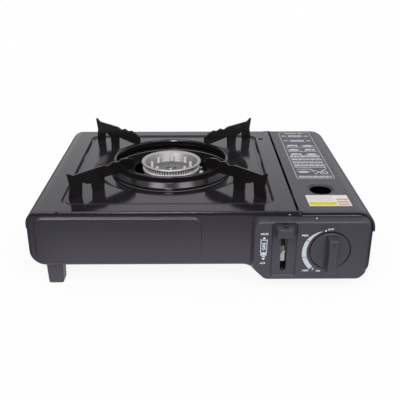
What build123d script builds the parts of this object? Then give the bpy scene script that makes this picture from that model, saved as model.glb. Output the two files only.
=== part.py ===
"""Portable one-burner gas stove as separate pieces, in millimetres.

X to the right, Y to the rear, Z up. The origin lies at the middle of the
bottom of the whole box, so the floor is Z = 0 and the controls face -Y.
"""
import os
from math import acos, cos, degrees, radians, sin, sqrt

from build123d import *

os.makedirs("parts", exist_ok=True)

# Overall sizes
CASING_WIDTH = 343.0
CASING_DEPTH = 260.0
LEFT_X = -CASING_WIDTH / 2
RIGHT_X = CASING_WIDTH / 2
TOP_Z = 85.0
PANEL_PROUD = 8.0
KNOB_PROUD = 15.5
SHEET = 0.8
MOVE_GAP = 0.4
RUN_GAP = 0.05

# Casing outline
LOW_Z = 25.3
BAY_Z = 12.2
BAY_TOP_DROP = 3.7
CORNER_TOP = 15.0
CORNER_LOW = 16.0
CORNER_BAY_TOP = 15.0
CORNER_BAY_LOW = 13.0
SWERVE_R = 15.0
SWERVE_X = RIGHT_X - 129.5
STEP_R = 5.0
EDGE_R = 3.5
CAP_DEPTH = 14.0

# Drip tray
PLATE_EDGE_X = RIGHT_X - 78.5
PLATE_HEM = 4.3
PLATE_SKIRT = 19.0
PLATE_EDGE_R = 1.6
TRAY_LEFT_X = LEFT_X + 31.2
TRAY_RIGHT_X = PLATE_EDGE_X - 18.6
TRAY_MARGIN = 18.0
TRAY_CORNER = 12.0
TRAY_DEPTH = 1.5
GROOVE_DEPTH = 0.9
GROOVE_WIDTH = 4.5
WELL_R = 89.0
WELL_DEPTH = 4.5
WELL_FLOOR_R = 80.0
BURNER_X = (TRAY_LEFT_X + TRAY_RIGHT_X) / 2
BURNER_OFF_Y = 3.0

# Lid and hinge
LID_GAP = 2.7
LID_CORNER = 20.0
LID_SKIRT = 22.0
LID_HEM = 2.2
HINGE_IN = 0.3
HINGE_DROP = 2.4
PIN_R = 1.2
EAR_R = 2.5
VENT_X = RIGHT_X - 44.9
VENT_BACK = 56.0
VENT_R = 11.6
VENT_RIM = 15.2
VENT_DIP = 1.3

# Control panel, knob and lever
PANEL_LEFT_X = RIGHT_X - 121.5
PANEL_RIGHT_X = RIGHT_X - 4.5
PANEL_LOW_Z = 11.2
PANEL_HIGH_Z = 80.0
PANEL_WALL = 2.0
PANEL_CORNER = 10.0
PANEL_CUT_LEFT = 13.0
PANEL_CUT_RIGHT = 8.0
KNOB_X = RIGHT_X - 44.9
KNOB_Z = 46.4
KNOB_R = 19.4
KNOB_DISC = 2.0
GRIP_WIDTH = 10.8
GRIP_WAIST = 0.9
GRIP_HALF = 18.4
SHAFT_R = 3.0
SLOT_X = RIGHT_X - 89.9
SLOT_WIDTH = 6.0
SLOT_LOW_Z = 23.0
SLOT_HIGH_Z = 75.0
TRACK_WIDTH = 25.5
TRACK_DEPTH = 2.0
LEVER_LOW_Z = 62.5
LEVER_HIGH_Z = 72.0
LEVER_ROOT = 20.4
LEVER_CREST = 2.0
LEVER_FACE_LOW = 17.0
LEVER_FACE_HIGH = 14.0
LEVER_PROUD = 7.5
LEVER_TRAVEL = 28.0
CARRIAGE_TRAVEL = 8.0
DRIVE_PIN_R = 2.0

# Cartridge bay
WALL_X = RIGHT_X - 81.5
CARTRIDGE_X = RIGHT_X - 41.5
CARTRIDGE_Z = 50.2
COLLAR_R = 17.5

# Gas path
TUBE_Z = 42.0
TUBE_R = 8.0
TUBE_WALL = 1.2
TUBE_CROSS_X = WALL_X - 4.0
TUBE_CROSS_BACK = 46.0

# Burner
CAP_RIM_R = 34.6
CAP_RIM_Z = 90.0
CAP_SLOTS = 64
CAP_SLOT_WIDTH = 1.5
CAP_WALL_R = CAP_RIM_R - 2.8
BURNER_HOLE_R = CAP_RIM_R + 8.4

# Pan support
RING_R = 66.0
RING_TOP_Z = 94.5
RING_SHEET = 1.4
RING_FLARE = 2.6
RING_FOOT = 2.1
RING_LIP = 3.6
ARM_SHEET = 2.0
ARM_TIP_IN = 10.3

# Feet
FOOT_WIDTH = 17.0
FOOT_DEPTH = 18.0
FOOT_IN_X = 14.2
FOOT_IN_Y = 8.5
BAY_FOOT_IN_Y = 25.0

# Values that follow from the ones above
FRONT_Y = (PANEL_PROUD + KNOB_PROUD - CASING_DEPTH - SHEET) / 2
REAR_Y = FRONT_Y + CASING_DEPTH
MID_Y = (FRONT_Y + REAR_Y) / 2
FACE_Y = FRONT_Y + SHEET
BACK_Y = REAR_Y - SHEET
PANEL_Y = FRONT_Y - PANEL_PROUD
INSIDE_Y = FACE_Y + SHEET
BURNER_Y = MID_Y + BURNER_OFF_Y
SHELL_LEFT_X = LEFT_X + SHEET
SHELL_RIGHT_X = RIGHT_X - SHEET - MOVE_GAP
SHELL_TOP_Z = TOP_Z - SHEET
BAY_TOP_Z = TOP_Z - BAY_TOP_DROP
LID_LEFT_X = PLATE_EDGE_X + LID_GAP
HINGE_X = LID_LEFT_X + HINGE_IN
HINGE_Z = TOP_Z - HINGE_DROP
TRAY_Z = TOP_Z - TRAY_DEPTH
TRAY_WIDTH = TRAY_RIGHT_X - TRAY_LEFT_X
TRAY_LENGTH = CASING_DEPTH - 2 * TRAY_MARGIN
ARM_TIP_S = TRAY_WIDTH / sqrt(2) - ARM_TIP_IN
WELL_Z = TRAY_Z - WELL_DEPTH
RING_LOW_Z = WELL_Z + MOVE_GAP + RING_SHEET / 2
FLOOR_Z = LOW_Z + SHEET
BAY_FLOOR_Z = BAY_Z + SHEET
WALL_LEFT_X = WALL_X - SHEET / 2
WALL_RIGHT_X = WALL_X + SHEET / 2
TRACK_Y = PANEL_Y + TRACK_DEPTH

# Tube line from the burner to the regulator
TUBE_DX = TUBE_CROSS_X - BURNER_X
TUBE_DY = FRONT_Y + TUBE_CROSS_BACK - BURNER_Y
TUBE_RUN = sqrt(TUBE_DX**2 + TUBE_DY**2)
TUBE_UX = TUBE_DX / TUBE_RUN
TUBE_UY = TUBE_DY / TUBE_RUN

# Screw places: feet, burner bracket, drip tray, control panel, regulator
SCREW_R = 1.5
FOOT_LEFT_X = LEFT_X + FOOT_IN_X + FOOT_WIDTH / 2
FOOT_RIGHT_X = RIGHT_X - FOOT_IN_X - FOOT_WIDTH / 2
FOOT_OFF_Y = CASING_DEPTH / 2 - FOOT_IN_Y - FOOT_DEPTH / 2
BAY_FOOT_OFF_Y = CASING_DEPTH / 2 - BAY_FOOT_IN_Y - FOOT_DEPTH / 2
FEET = {
    "foot_front_left": (FOOT_LEFT_X, MID_Y - FOOT_OFF_Y, LOW_Z),
    "foot_rear_left": (FOOT_LEFT_X, MID_Y + FOOT_OFF_Y, LOW_Z),
    "foot_front_right": (FOOT_RIGHT_X, MID_Y - BAY_FOOT_OFF_Y, BAY_Z),
    "foot_rear_right": (FOOT_RIGHT_X, MID_Y + BAY_FOOT_OFF_Y, BAY_Z),
}
FOOT_PLACES = [(x, y) for x, y, _ in FEET.values()]
BRACKET_HOLE = 34.0
BRACKET_HOLES = (
    (BURNER_X - TUBE_UY * BRACKET_HOLE, BURNER_Y + TUBE_UX * BRACKET_HOLE),
    (BURNER_X + TUBE_UY * BRACKET_HOLE, BURNER_Y - TUBE_UX * BRACKET_HOLE),
)
FLANGE_LEFT_X = PLATE_EDGE_X - 17.0
PLATE_SCREW_X = FLANGE_LEFT_X + 4.6
PLATE_SCREW_Y = REAR_Y - 33.0
PANEL_POSTS = (
    (PANEL_LEFT_X + 12.0, PANEL_LOW_Z + 16.0),
    (PANEL_LEFT_X + 12.0, PANEL_HIGH_Z - 11.0),
    (PANEL_RIGHT_X - 10.0, PANEL_LOW_Z + 14.0),
    (PANEL_RIGHT_X - 10.0, PANEL_HIGH_Z - 12.0),
)
REGULATOR_BOLTS = ((KNOB_X - 9.5, KNOB_Z), (KNOB_X + 9.5, KNOB_Z))


def front_plane(y):
    """Sketch plane facing the front at depth y, local axes X and Z."""
    return Plane.XZ.offset(-y)


def side_plane(x):
    """Sketch plane facing right at x, local axes Y and Z."""
    return Plane.YZ.offset(x)


def radial_plane(x, y, angle):
    """Upright sketch plane through a vertical axis, local axes radius and Z."""
    return Plane(
        (x, y, 0),
        x_dir=(cos(radians(angle)), sin(radians(angle)), 0),
        z_dir=(sin(radians(angle)), -cos(radians(angle)), 0),
    )


def casing_outline(y, inset):
    """Closed casing outline at depth y, drawn inward by inset."""
    step_turn = degrees(acos(1 - (SHELL_TOP_Z - BAY_TOP_Z) / (2 * STEP_R)))
    swerve_turn = degrees(acos(1 - (LOW_Z - BAY_Z) / (2 * SWERVE_R)))
    swerve_run = 2 * SWERVE_R * sin(radians(swerve_turn))
    step_run = 2 * STEP_R * sin(radians(step_turn))
    corner = CORNER_TOP - SHEET
    with BuildSketch(front_plane(y)) as outline:
        with BuildLine():
            top = Line(
                (SHELL_LEFT_X + corner, SHELL_TOP_Z),
                (LID_LEFT_X - step_run, SHELL_TOP_Z),
            )
            fall = JernArc(top @ 1, (1, 0), STEP_R, -step_turn)
            ease = JernArc(fall @ 1, fall % 1, STEP_R, step_turn)
            bay_top = Line(ease @ 1, (SHELL_RIGHT_X - CORNER_BAY_TOP, BAY_TOP_Z))
            turn_1 = JernArc(bay_top @ 1, (1, 0), CORNER_BAY_TOP, -90)
            right = Line(turn_1 @ 1, (SHELL_RIGHT_X, BAY_Z + CORNER_BAY_LOW))
            turn_2 = JernArc(right @ 1, (0, -1), CORNER_BAY_LOW, -90)
            bay_low = Line(turn_2 @ 1, (SWERVE_X + swerve_run, BAY_Z))
            rise = JernArc(bay_low @ 1, (-1, 0), SWERVE_R, -swerve_turn)
            level = JernArc(rise @ 1, rise % 1, SWERVE_R, swerve_turn)
            low = Line(level @ 1, (SHELL_LEFT_X + CORNER_LOW, LOW_Z))
            turn_3 = JernArc(low @ 1, (-1, 0), CORNER_LOW, -90)
            left = Line(turn_3 @ 1, (SHELL_LEFT_X, SHELL_TOP_Z - corner))
            JernArc(left @ 1, (0, 1), corner, -90)
        make_face()
        if inset > 0:
            offset(amount=-inset)
    return outline.sketch


def shoulder_outline(y, inset, low_z, open_x):
    """Drip tray cross-section with its left shoulder, drawn inward by inset."""
    corner = CORNER_TOP - inset
    with BuildSketch(front_plane(y)) as outline:
        with BuildLine():
            left = Line((LEFT_X + inset, low_z), (LEFT_X + inset, TOP_Z - CORNER_TOP))
            turn = JernArc(left @ 1, (0, 1), corner, -90)
            top = Line(turn @ 1, (open_x, TOP_Z - inset))
            side = Line(top @ 1, (open_x, low_z))
            Line(side @ 1, left @ 0)
        make_face()
    return outline.sketch


def lid_outline(y, inset, low_z, open_x):
    """Lid cross-section with its right shoulder, drawn inward by inset."""
    corner = LID_CORNER - inset
    with BuildSketch(front_plane(y)) as outline:
        with BuildLine():
            top = Line((open_x, TOP_Z - inset), (RIGHT_X - LID_CORNER, TOP_Z - inset))
            turn = JernArc(top @ 1, (1, 0), corner, -90)
            right = Line(turn @ 1, (RIGHT_X - inset, low_z))
            low = Line(right @ 1, (open_x, low_z))
            Line(low @ 1, top @ 0)
        make_face()
    return outline.sketch


def tray_outline(z, grow):
    """Rounded tray field at height z, drawn outward by grow."""
    with BuildSketch(Plane.XY.offset(z)) as outline:
        with Locations((BURNER_X, MID_Y)):
            RectangleRounded(
                TRAY_WIDTH + 2 * grow, TRAY_LENGTH + 2 * grow, TRAY_CORNER + grow
            )
    return outline.sketch


def well_section(drop, grow):
    """Half section of the round well below the tray field."""
    with BuildSketch(radial_plane(BURNER_X, BURNER_Y, 0)) as section:
        with BuildLine():
            Polyline(
                (0, WELL_Z - drop),
                (WELL_FLOOR_R + grow, WELL_Z - drop),
                (WELL_R + grow, TRAY_Z - drop),
                (WELL_R + grow, TRAY_Z + 0.5),
                (0, TRAY_Z + 0.5),
                close=True,
            )
        make_face()
    return section.sketch


BURNER_AXIS = Axis((BURNER_X, BURNER_Y, 0), (0, 0, 1))
FLOOR_VENT_R = 58.0

# Base shell: floor, left wall and right wall of one bent sheet
with BuildPart() as base_shell:
    extrude(casing_outline(FACE_Y + CAP_DEPTH, 0), amount=-(BACK_Y - FACE_Y - 2 * CAP_DEPTH))
    extrude(
        casing_outline(FACE_Y + CAP_DEPTH, SHEET),
        amount=-(BACK_Y - FACE_Y - 2 * CAP_DEPTH),
        mode=Mode.SUBTRACT,
    )
    with Locations((0, MID_Y, TOP_Z - CORNER_TOP - SHEET)):
        Box(
            CASING_WIDTH,
            CASING_DEPTH,
            CASING_WIDTH,
            align=(Align.CENTER, Align.CENTER, Align.MIN),
            mode=Mode.SUBTRACT,
        )
    with Locations((RIGHT_X, MID_Y, BAY_TOP_Z - CORNER_BAY_TOP - SHEET)):
        Box(
            CASING_WIDTH / 2,
            CASING_DEPTH,
            CASING_WIDTH,
            align=(Align.CENTER, Align.CENTER, Align.MIN),
            mode=Mode.SUBTRACT,
        )
    with BuildSketch(Plane.XY.offset(LOW_Z - SHEET)):
        with Locations((BURNER_X, BURNER_Y)):
            with PolarLocations(FLOOR_VENT_R, 10):
                SlotOverall(26, 5)
    extrude(amount=3 * SHEET, mode=Mode.SUBTRACT)
    with BuildSketch(Plane.XY):
        with Locations(*FOOT_PLACES, *BRACKET_HOLES):
            Circle(SCREW_R)
    extrude(amount=FLOOR_Z + 1, mode=Mode.SUBTRACT)
base_shell.part.label = "base_shell"
export_step(base_shell.part, "parts/base_shell.step")

# Room for the lid tabs in the front and rear panels
TAB_SHEET = 1.2
NOTCH_HALF = EAR_R + 2 * MOVE_GAP
NOTCH_DEPTH = SHEET + 3 * MOVE_GAP + TAB_SHEET
NOTCH_LOW_Z = HINGE_Z - EAR_R - MOVE_GAP

# Front panel: pressed cap with a raised field and openings behind the controls
EMBOSS_LEFT_X = LEFT_X + 8.0
EMBOSS_RIGHT_X = PANEL_LEFT_X - 48.6
EMBOSS_LOW_Z = LOW_Z + 5.6
EMBOSS_HIGH_Z = TOP_Z - 6.0
EMBOSS_RAISE = 1.6


def emboss_outline(y, inset):
    """Rounded raised field of the front panel, drawn inward by inset."""
    with BuildSketch(front_plane(y)) as outline:
        with Locations(
            ((EMBOSS_LEFT_X + EMBOSS_RIGHT_X) / 2, (EMBOSS_LOW_Z + EMBOSS_HIGH_Z) / 2)
        ):
            RectangleRounded(
                EMBOSS_RIGHT_X - EMBOSS_LEFT_X - 2 * inset,
                EMBOSS_HIGH_Z - EMBOSS_LOW_Z - 2 * inset,
                10.0 - inset,
            )
    return outline.sketch


with BuildPart() as front_void:
    extrude(casing_outline(FACE_Y + SHEET, SHEET), amount=-CAP_DEPTH)
    fillet(front_void.faces().sort_by(Axis.Y)[0].edges(), EDGE_R - SHEET)
    extrude(emboss_outline(FACE_Y + SHEET, SHEET / 2), amount=EMBOSS_RAISE, taper=45)

with BuildPart() as front_panel:
    extrude(casing_outline(FACE_Y, 0), amount=-CAP_DEPTH)
    fillet(front_panel.faces().sort_by(Axis.Y)[0].edges(), EDGE_R)
    extrude(emboss_outline(FACE_Y, 0), amount=EMBOSS_RAISE, taper=45)
    fillet(front_panel.faces().sort_by(Axis.Y)[0].edges(), 1.0)
    add(front_void.part, mode=Mode.SUBTRACT)
    with BuildSketch(front_plane(FACE_Y)):
        with Locations((SLOT_X + 1.5, (SLOT_LOW_Z + SLOT_HIGH_Z) / 2)):
            RectangleRounded(16, SLOT_HIGH_Z - SLOT_LOW_Z + 4, 3)
        with Locations((KNOB_X, KNOB_Z)):
            Circle(SHAFT_R + 2)
        with Locations(*PANEL_POSTS, *REGULATOR_BOLTS):
            Circle(SCREW_R)
    extrude(amount=-2 * SHEET, mode=Mode.SUBTRACT)
    with Locations((HINGE_X, FRONT_Y, NOTCH_LOW_Z)):
        Box(
            2 * NOTCH_HALF,
            2 * NOTCH_DEPTH,
            CORNER_TOP,
            align=(Align.CENTER, Align.CENTER, Align.MIN),
            mode=Mode.SUBTRACT,
        )
front_panel.part.label = "front_panel"
export_step(front_panel.part, "parts/front_panel.step")

# Rear panel: the same cap without the field, with air slots
with BuildPart() as rear_void:
    extrude(casing_outline(BACK_Y - SHEET, SHEET), amount=CAP_DEPTH)
    fillet(rear_void.faces().sort_by(Axis.Y)[-1].edges(), EDGE_R - SHEET)

with BuildPart() as rear_panel:
    extrude(casing_outline(BACK_Y, 0), amount=CAP_DEPTH)
    fillet(rear_panel.faces().sort_by(Axis.Y)[-1].edges(), EDGE_R)
    add(rear_void.part, mode=Mode.SUBTRACT)
    with BuildSketch(front_plane(BACK_Y)):
        with Locations((BURNER_X, (LOW_Z + TOP_Z) / 2)):
            with GridLocations(44, 9, 4, 3):
                SlotOverall(34, 3.4)
        with Locations((CARTRIDGE_X, CARTRIDGE_Z)):
            with GridLocations(1, 9, 1, 3):
                SlotOverall(40, 3.4)
    extrude(amount=3 * SHEET, mode=Mode.SUBTRACT)
    with Locations((HINGE_X, REAR_Y, NOTCH_LOW_Z)):
        Box(
            2 * NOTCH_HALF,
            2 * NOTCH_DEPTH,
            CORNER_TOP,
            align=(Align.CENTER, Align.CENTER, Align.MIN),
            mode=Mode.SUBTRACT,
        )
rear_panel.part.label = "rear_panel"
export_step(rear_panel.part, "parts/rear_panel.step")

# Top plate: lapped tray with a groove round its field and a round well
HALF_ANGLE_GROW = SHEET * (sqrt(2) - 1)

with BuildPart() as plate_void:
    extrude(
        shoulder_outline(FACE_Y, SHEET, TOP_Z - 2 * PLATE_SKIRT, RIGHT_X),
        amount=-(BACK_Y - FACE_Y),
    )
    fillet(
        plate_void.edges()
        .filter_by(lambda e: e.center().Y < FACE_Y + 0.1 or e.center().Y > BACK_Y - 0.1)
        .filter_by(lambda e: e.center().Z > TOP_Z - 1.8 * PLATE_SKIRT)
        .filter_by(lambda e: e.center().X < RIGHT_X - 0.1),
        PLATE_EDGE_R - SHEET,
    )
    extrude(
        tray_outline(TOP_Z - SHEET, HALF_ANGLE_GROW),
        amount=-(TRAY_DEPTH + GROOVE_DEPTH),
        taper=45,
        mode=Mode.SUBTRACT,
    )
    extrude(
        tray_outline(TRAY_Z - GROOVE_DEPTH - SHEET, -GROOVE_WIDTH + HALF_ANGLE_GROW),
        amount=GROOVE_DEPTH,
        taper=45,
    )
    revolve(well_section(SHEET, SHEET / 2), BURNER_AXIS, mode=Mode.SUBTRACT)

with BuildPart() as top_plate:
    extrude(
        shoulder_outline(FRONT_Y, 0, TOP_Z - PLATE_SKIRT, PLATE_EDGE_X),
        amount=-CASING_DEPTH,
    )
    fillet(
        top_plate.edges()
        .filter_by(lambda e: e.center().Y < FRONT_Y + 0.1 or e.center().Y > REAR_Y - 0.1)
        .filter_by(lambda e: e.center().Z > TOP_Z - PLATE_SKIRT + 0.1)
        .filter_by(lambda e: e.center().X < PLATE_EDGE_X - 0.1),
        PLATE_EDGE_R,
    )
    extrude(
        tray_outline(TOP_Z, 0),
        amount=-(TRAY_DEPTH + GROOVE_DEPTH),
        taper=45,
        mode=Mode.SUBTRACT,
    )
    extrude(tray_outline(TRAY_Z - GROOVE_DEPTH, -GROOVE_WIDTH), amount=GROOVE_DEPTH, taper=45)
    revolve(well_section(0, 0), BURNER_AXIS, mode=Mode.SUBTRACT)
    add(plate_void.part, mode=Mode.SUBTRACT)
    with Locations((0, FRONT_Y, TOP_Z - PLATE_HEM), (0, REAR_Y, TOP_Z - PLATE_HEM)):
        Box(
            2 * CASING_WIDTH,
            2 * (EDGE_R + SHEET),
            CASING_WIDTH,
            align=(Align.CENTER, Align.CENTER, Align.MAX),
            mode=Mode.SUBTRACT,
        )
    with Locations((BURNER_X, BURNER_Y, WELL_Z)):
        Cylinder(BURNER_HOLE_R, 4 * SHEET, mode=Mode.SUBTRACT)
    with BuildSketch(radial_plane(BURNER_X, BURNER_Y, 0)):
        with Locations((BURNER_HOLE_R, WELL_Z - SHEET)):
            Rectangle(SHEET, 2.6, align=(Align.MIN, Align.MIN))
    revolve(axis=BURNER_AXIS)
    for ear_y, ear_sign in ((FRONT_Y, -1), (REAR_Y, 1)):
        with BuildSketch(front_plane(ear_y)):
            with BuildLine():
                ear_top = Line((PLATE_EDGE_X - 6, TOP_Z), (HINGE_X, HINGE_Z + HINGE_DROP))
                ear_bend = JernArc(ear_top @ 1, (1, 0), HINGE_DROP, -180)
                ear_low = Line(ear_bend @ 1, (PLATE_EDGE_X - 6, HINGE_Z - HINGE_DROP))
                Line(ear_low @ 1, ear_top @ 0)
            make_face()
            with Locations((HINGE_X, HINGE_Z)):
                Circle(PIN_R, mode=Mode.SUBTRACT)
        extrude(amount=ear_sign * SHEET)
    with Locations((PLATE_SCREW_X, PLATE_SCREW_Y, TOP_Z)):
        Cylinder(SCREW_R, 4 * SHEET, mode=Mode.SUBTRACT)
top_plate.part.label = "top_plate"
export_step(top_plate.part, "parts/top_plate.step")

# Hinge pins: two rivets in the ears of the top plate
with BuildPart() as hinge_pins:
    for pin_y, pin_sign in ((FRONT_Y, -1), (REAR_Y, 1)):
        with BuildSketch(front_plane(pin_y)):
            with Locations((HINGE_X, HINGE_Z)):
                Circle(PIN_R)
        extrude(amount=pin_sign * (SHEET + 2 * MOVE_GAP + TAB_SHEET))
        with BuildSketch(front_plane(pin_y)):
            with Locations((HINGE_X, HINGE_Z)):
                Circle(1.6 * PIN_R)
        extrude(amount=-pin_sign * SHEET)
hinge_pins.part.label = "hinge_pins"
export_step(hinge_pins.part, "parts/hinge_pins.step")

# Cartridge lid: curved cover with turned-in ends, a dished hole and two hinge tabs
TAB_FRONT_Y = FRONT_Y + SHEET + MOVE_GAP
TAB_REAR_Y = REAR_Y - SHEET - MOVE_GAP

with BuildPart() as lid_void:
    extrude(
        lid_outline(FACE_Y, SHEET, TOP_Z - 2 * LID_SKIRT, LID_LEFT_X - LID_GAP),
        amount=-(BACK_Y - FACE_Y),
    )
    fillet(
        lid_void.edges()
        .filter_by(lambda e: e.center().Y < FACE_Y + 0.1 or e.center().Y > BACK_Y - 0.1)
        .filter_by(lambda e: e.center().Z > TOP_Z - 1.9 * LID_SKIRT)
        .filter_by(lambda e: e.center().X > LID_LEFT_X),
        PLATE_EDGE_R - SHEET,
    )

with BuildPart() as cartridge_lid:
    extrude(
        lid_outline(FRONT_Y, 0, TOP_Z - LID_SKIRT, LID_LEFT_X),
        amount=-CASING_DEPTH,
    )
    fillet(
        cartridge_lid.edges()
        .filter_by(lambda e: e.center().Y < FRONT_Y + 0.1 or e.center().Y > REAR_Y - 0.1)
        .filter_by(lambda e: e.center().Z > TOP_Z - LID_SKIRT + 0.1)
        .filter_by(lambda e: e.center().X > LID_LEFT_X + 0.1),
        PLATE_EDGE_R,
    )
    add(lid_void.part, mode=Mode.SUBTRACT)
    extrude(
        lid_outline(FRONT_Y - 1, LID_HEM, TOP_Z - 2 * LID_SKIRT, LID_LEFT_X - LID_GAP),
        amount=-(CASING_DEPTH + 2),
        mode=Mode.SUBTRACT,
    )
    with Locations((HINGE_X, FRONT_Y, HINGE_Z), (HINGE_X, REAR_Y, HINGE_Z)):
        Box(
            2 * (HINGE_DROP + MOVE_GAP),
            2 * (SHEET + MOVE_GAP),
            4 * HINGE_DROP,
            mode=Mode.SUBTRACT,
        )
    with Locations((VENT_X, FRONT_Y + VENT_BACK, TOP_Z)):
        Cylinder(VENT_RIM, 4 * SHEET, mode=Mode.SUBTRACT)
    with BuildSketch(radial_plane(VENT_X, FRONT_Y + VENT_BACK, 0)):
        with BuildLine():
            Polyline(
                (VENT_RIM + SHEET, TOP_Z),
                (VENT_RIM - 0.8, TOP_Z),
                (VENT_R + 1.6, TOP_Z - VENT_DIP),
                (VENT_R, TOP_Z - VENT_DIP),
                (VENT_R, TOP_Z - VENT_DIP - SHEET),
                (VENT_R + 1.9, TOP_Z - VENT_DIP - SHEET),
                (VENT_RIM - 0.5, TOP_Z - SHEET),
                (VENT_RIM + SHEET, TOP_Z - SHEET),
                close=True,
            )
        make_face()
    revolve(axis=Axis((VENT_X, FRONT_Y + VENT_BACK, 0), (0, 0, 1)))
    for tab_y, tab_sign in ((TAB_FRONT_Y, -1), (TAB_REAR_Y, 1)):
        with BuildSketch(front_plane(tab_y)):
            with Locations((HINGE_X, HINGE_Z)):
                Circle(EAR_R - 0.1)
            with Locations((LID_LEFT_X, HINGE_Z)):
                Rectangle(2 * EAR_R, HINGE_DROP - SHEET / 2, align=(Align.MIN, Align.MIN))
            with Locations((HINGE_X, HINGE_Z)):
                Circle(PIN_R + RUN_GAP, mode=Mode.SUBTRACT)
        extrude(amount=tab_sign * TAB_SHEET)
cartridge_lid.part.label = "cartridge_lid"
export_step(cartridge_lid.part, "parts/cartridge_lid.step")


def tube_plane(distance):
    """Sketch plane square to the tube line at a distance from the burner axis."""
    return Plane(
        (BURNER_X + TUBE_UX * distance, BURNER_Y + TUBE_UY * distance, TUBE_Z),
        x_dir=(0, 0, 1),
        z_dir=(TUBE_UX, TUBE_UY, 0),
    )


REGULATOR_LEFT_X = KNOB_X - 19.3
REGULATOR_RIGHT_X = KNOB_X + 18.7
REGULATOR_LOW_Z = KNOB_Z - 14.8
REGULATOR_HIGH_Z = KNOB_Z + 21.2
REGULATOR_FRONT_Y = FRONT_Y + 8.0
REGULATOR_REAR_Y = FRONT_Y + 44.0
MOUTH_T = TUBE_RUN + (WALL_X + 9.0 - TUBE_CROSS_X) / TUBE_UX
BODY_T = TUBE_RUN + (REGULATOR_LEFT_X - TUBE_CROSS_X) / TUBE_UX
BOSS_T = BODY_T - 6.0

# Lever drive: pin height, slot and yoke positions
PIN_Z = (LEVER_LOW_Z + LEVER_HIGH_Z) / 2 + 0.9
DRIVE_Y = FRONT_Y + 15.5
FINGER_LOW_Z = PIN_Z - DRIVE_PIN_R - 1.2
CARRIAGE_X = WALL_X - 4.5
CARRIAGE_SHEET = 1.5
BAR_LOW_Z = 56.0
BAR_HIGH_Z = 66.0
YOKE_Y = FRONT_Y + 60.5
YOKE_LOW_Z = CARTRIDGE_Z - COLLAR_R - 5.0
LOBE_FRONT_Y = FRONT_Y + 11.0
LOBE_REAR_Y = FRONT_Y + 31.0

# Where the ignition lead goes through the partition
LEAD_R = 1.3
LEAD_Y = FRONT_Y + 43.0
LEAD_Z = TOP_Z - 8.0
LEAD_DROP_X = WALL_X - 26.0

# Partition wall with its flanges and openings
with BuildPart() as partition_wall:
    with BuildSketch(side_plane(WALL_LEFT_X)):
        with Locations((INSIDE_Y + EDGE_R, BAY_FLOOR_Z)):
            Rectangle(
                BACK_Y - FACE_Y - 2 * SHEET - 2 * EDGE_R,
                BAY_TOP_Z - BAY_FLOOR_Z - 1.5,
                align=(Align.MIN, Align.MIN),
            )
        with Locations((FACE_Y + CAP_DEPTH + 1, BAY_FLOOR_Z)):
            Rectangle(
                BACK_Y - FACE_Y - 2 * CAP_DEPTH - 2,
                SHELL_TOP_Z - BAY_FLOOR_Z,
                align=(Align.MIN, Align.MIN),
            )
        with Locations((YOKE_Y - CARRIAGE_TRAVEL - 1, BAR_LOW_Z - 1)):
            Rectangle(
                CARRIAGE_TRAVEL + CARRIAGE_SHEET + 2,
                BAR_HIGH_Z - BAR_LOW_Z + 2,
                align=(Align.MIN, Align.MIN),
                mode=Mode.SUBTRACT,
            )
        with Locations((LEAD_Y, LEAD_Z)):
            Circle(LEAD_R + 0.9, mode=Mode.SUBTRACT)
    extrude(amount=SHEET)
    with BuildSketch(front_plane(FACE_Y + CAP_DEPTH + 1)):
        with Locations((FLANGE_LEFT_X, SHELL_TOP_Z)):
            Rectangle(WALL_RIGHT_X - FLANGE_LEFT_X, SHEET, align=(Align.MIN, Align.MAX))
        with Locations((FLANGE_LEFT_X, BAY_FLOOR_Z)):
            Rectangle(WALL_RIGHT_X - FLANGE_LEFT_X, SHEET, align=(Align.MIN, Align.MIN))
    extrude(amount=-(BACK_Y - FACE_Y - 2 * CAP_DEPTH - 2))
    with BuildSketch(tube_plane(TUBE_RUN - 20)):
        Circle(TUBE_R + 3)
    extrude(amount=50, mode=Mode.SUBTRACT)
    with Locations((PLATE_SCREW_X, PLATE_SCREW_Y, SHELL_TOP_Z)):
        Cylinder(SCREW_R, 4 * SHEET, mode=Mode.SUBTRACT)
partition_wall.part.label = "partition_wall"
export_step(partition_wall.part, "parts/partition_wall.step")

# Control panel: drafted cover with the lever track, the knob seat and screw posts
PANEL_DRAFT = 18.0
SEAT_DEPTH = 2.6
SEAT_R = KNOB_R + 1.2


def panel_outline(y, inset):
    """Outline of the control panel with its cut lower corners, drawn inward by inset."""
    with BuildSketch(front_plane(y)) as outline:
        with BuildLine():
            FilletPolyline(
                (PANEL_LEFT_X, PANEL_HIGH_Z),
                (PANEL_LEFT_X, PANEL_LOW_Z + PANEL_CUT_LEFT),
                (PANEL_LEFT_X + PANEL_CUT_LEFT, PANEL_LOW_Z),
                (PANEL_RIGHT_X - PANEL_CUT_RIGHT, PANEL_LOW_Z),
                (PANEL_RIGHT_X, PANEL_LOW_Z + PANEL_CUT_RIGHT),
                (PANEL_RIGHT_X, PANEL_HIGH_Z),
                radius=PANEL_CORNER,
                close=True,
            )
        make_face()
        if inset > 0:
            offset(amount=-inset)
    return outline.sketch


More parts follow.
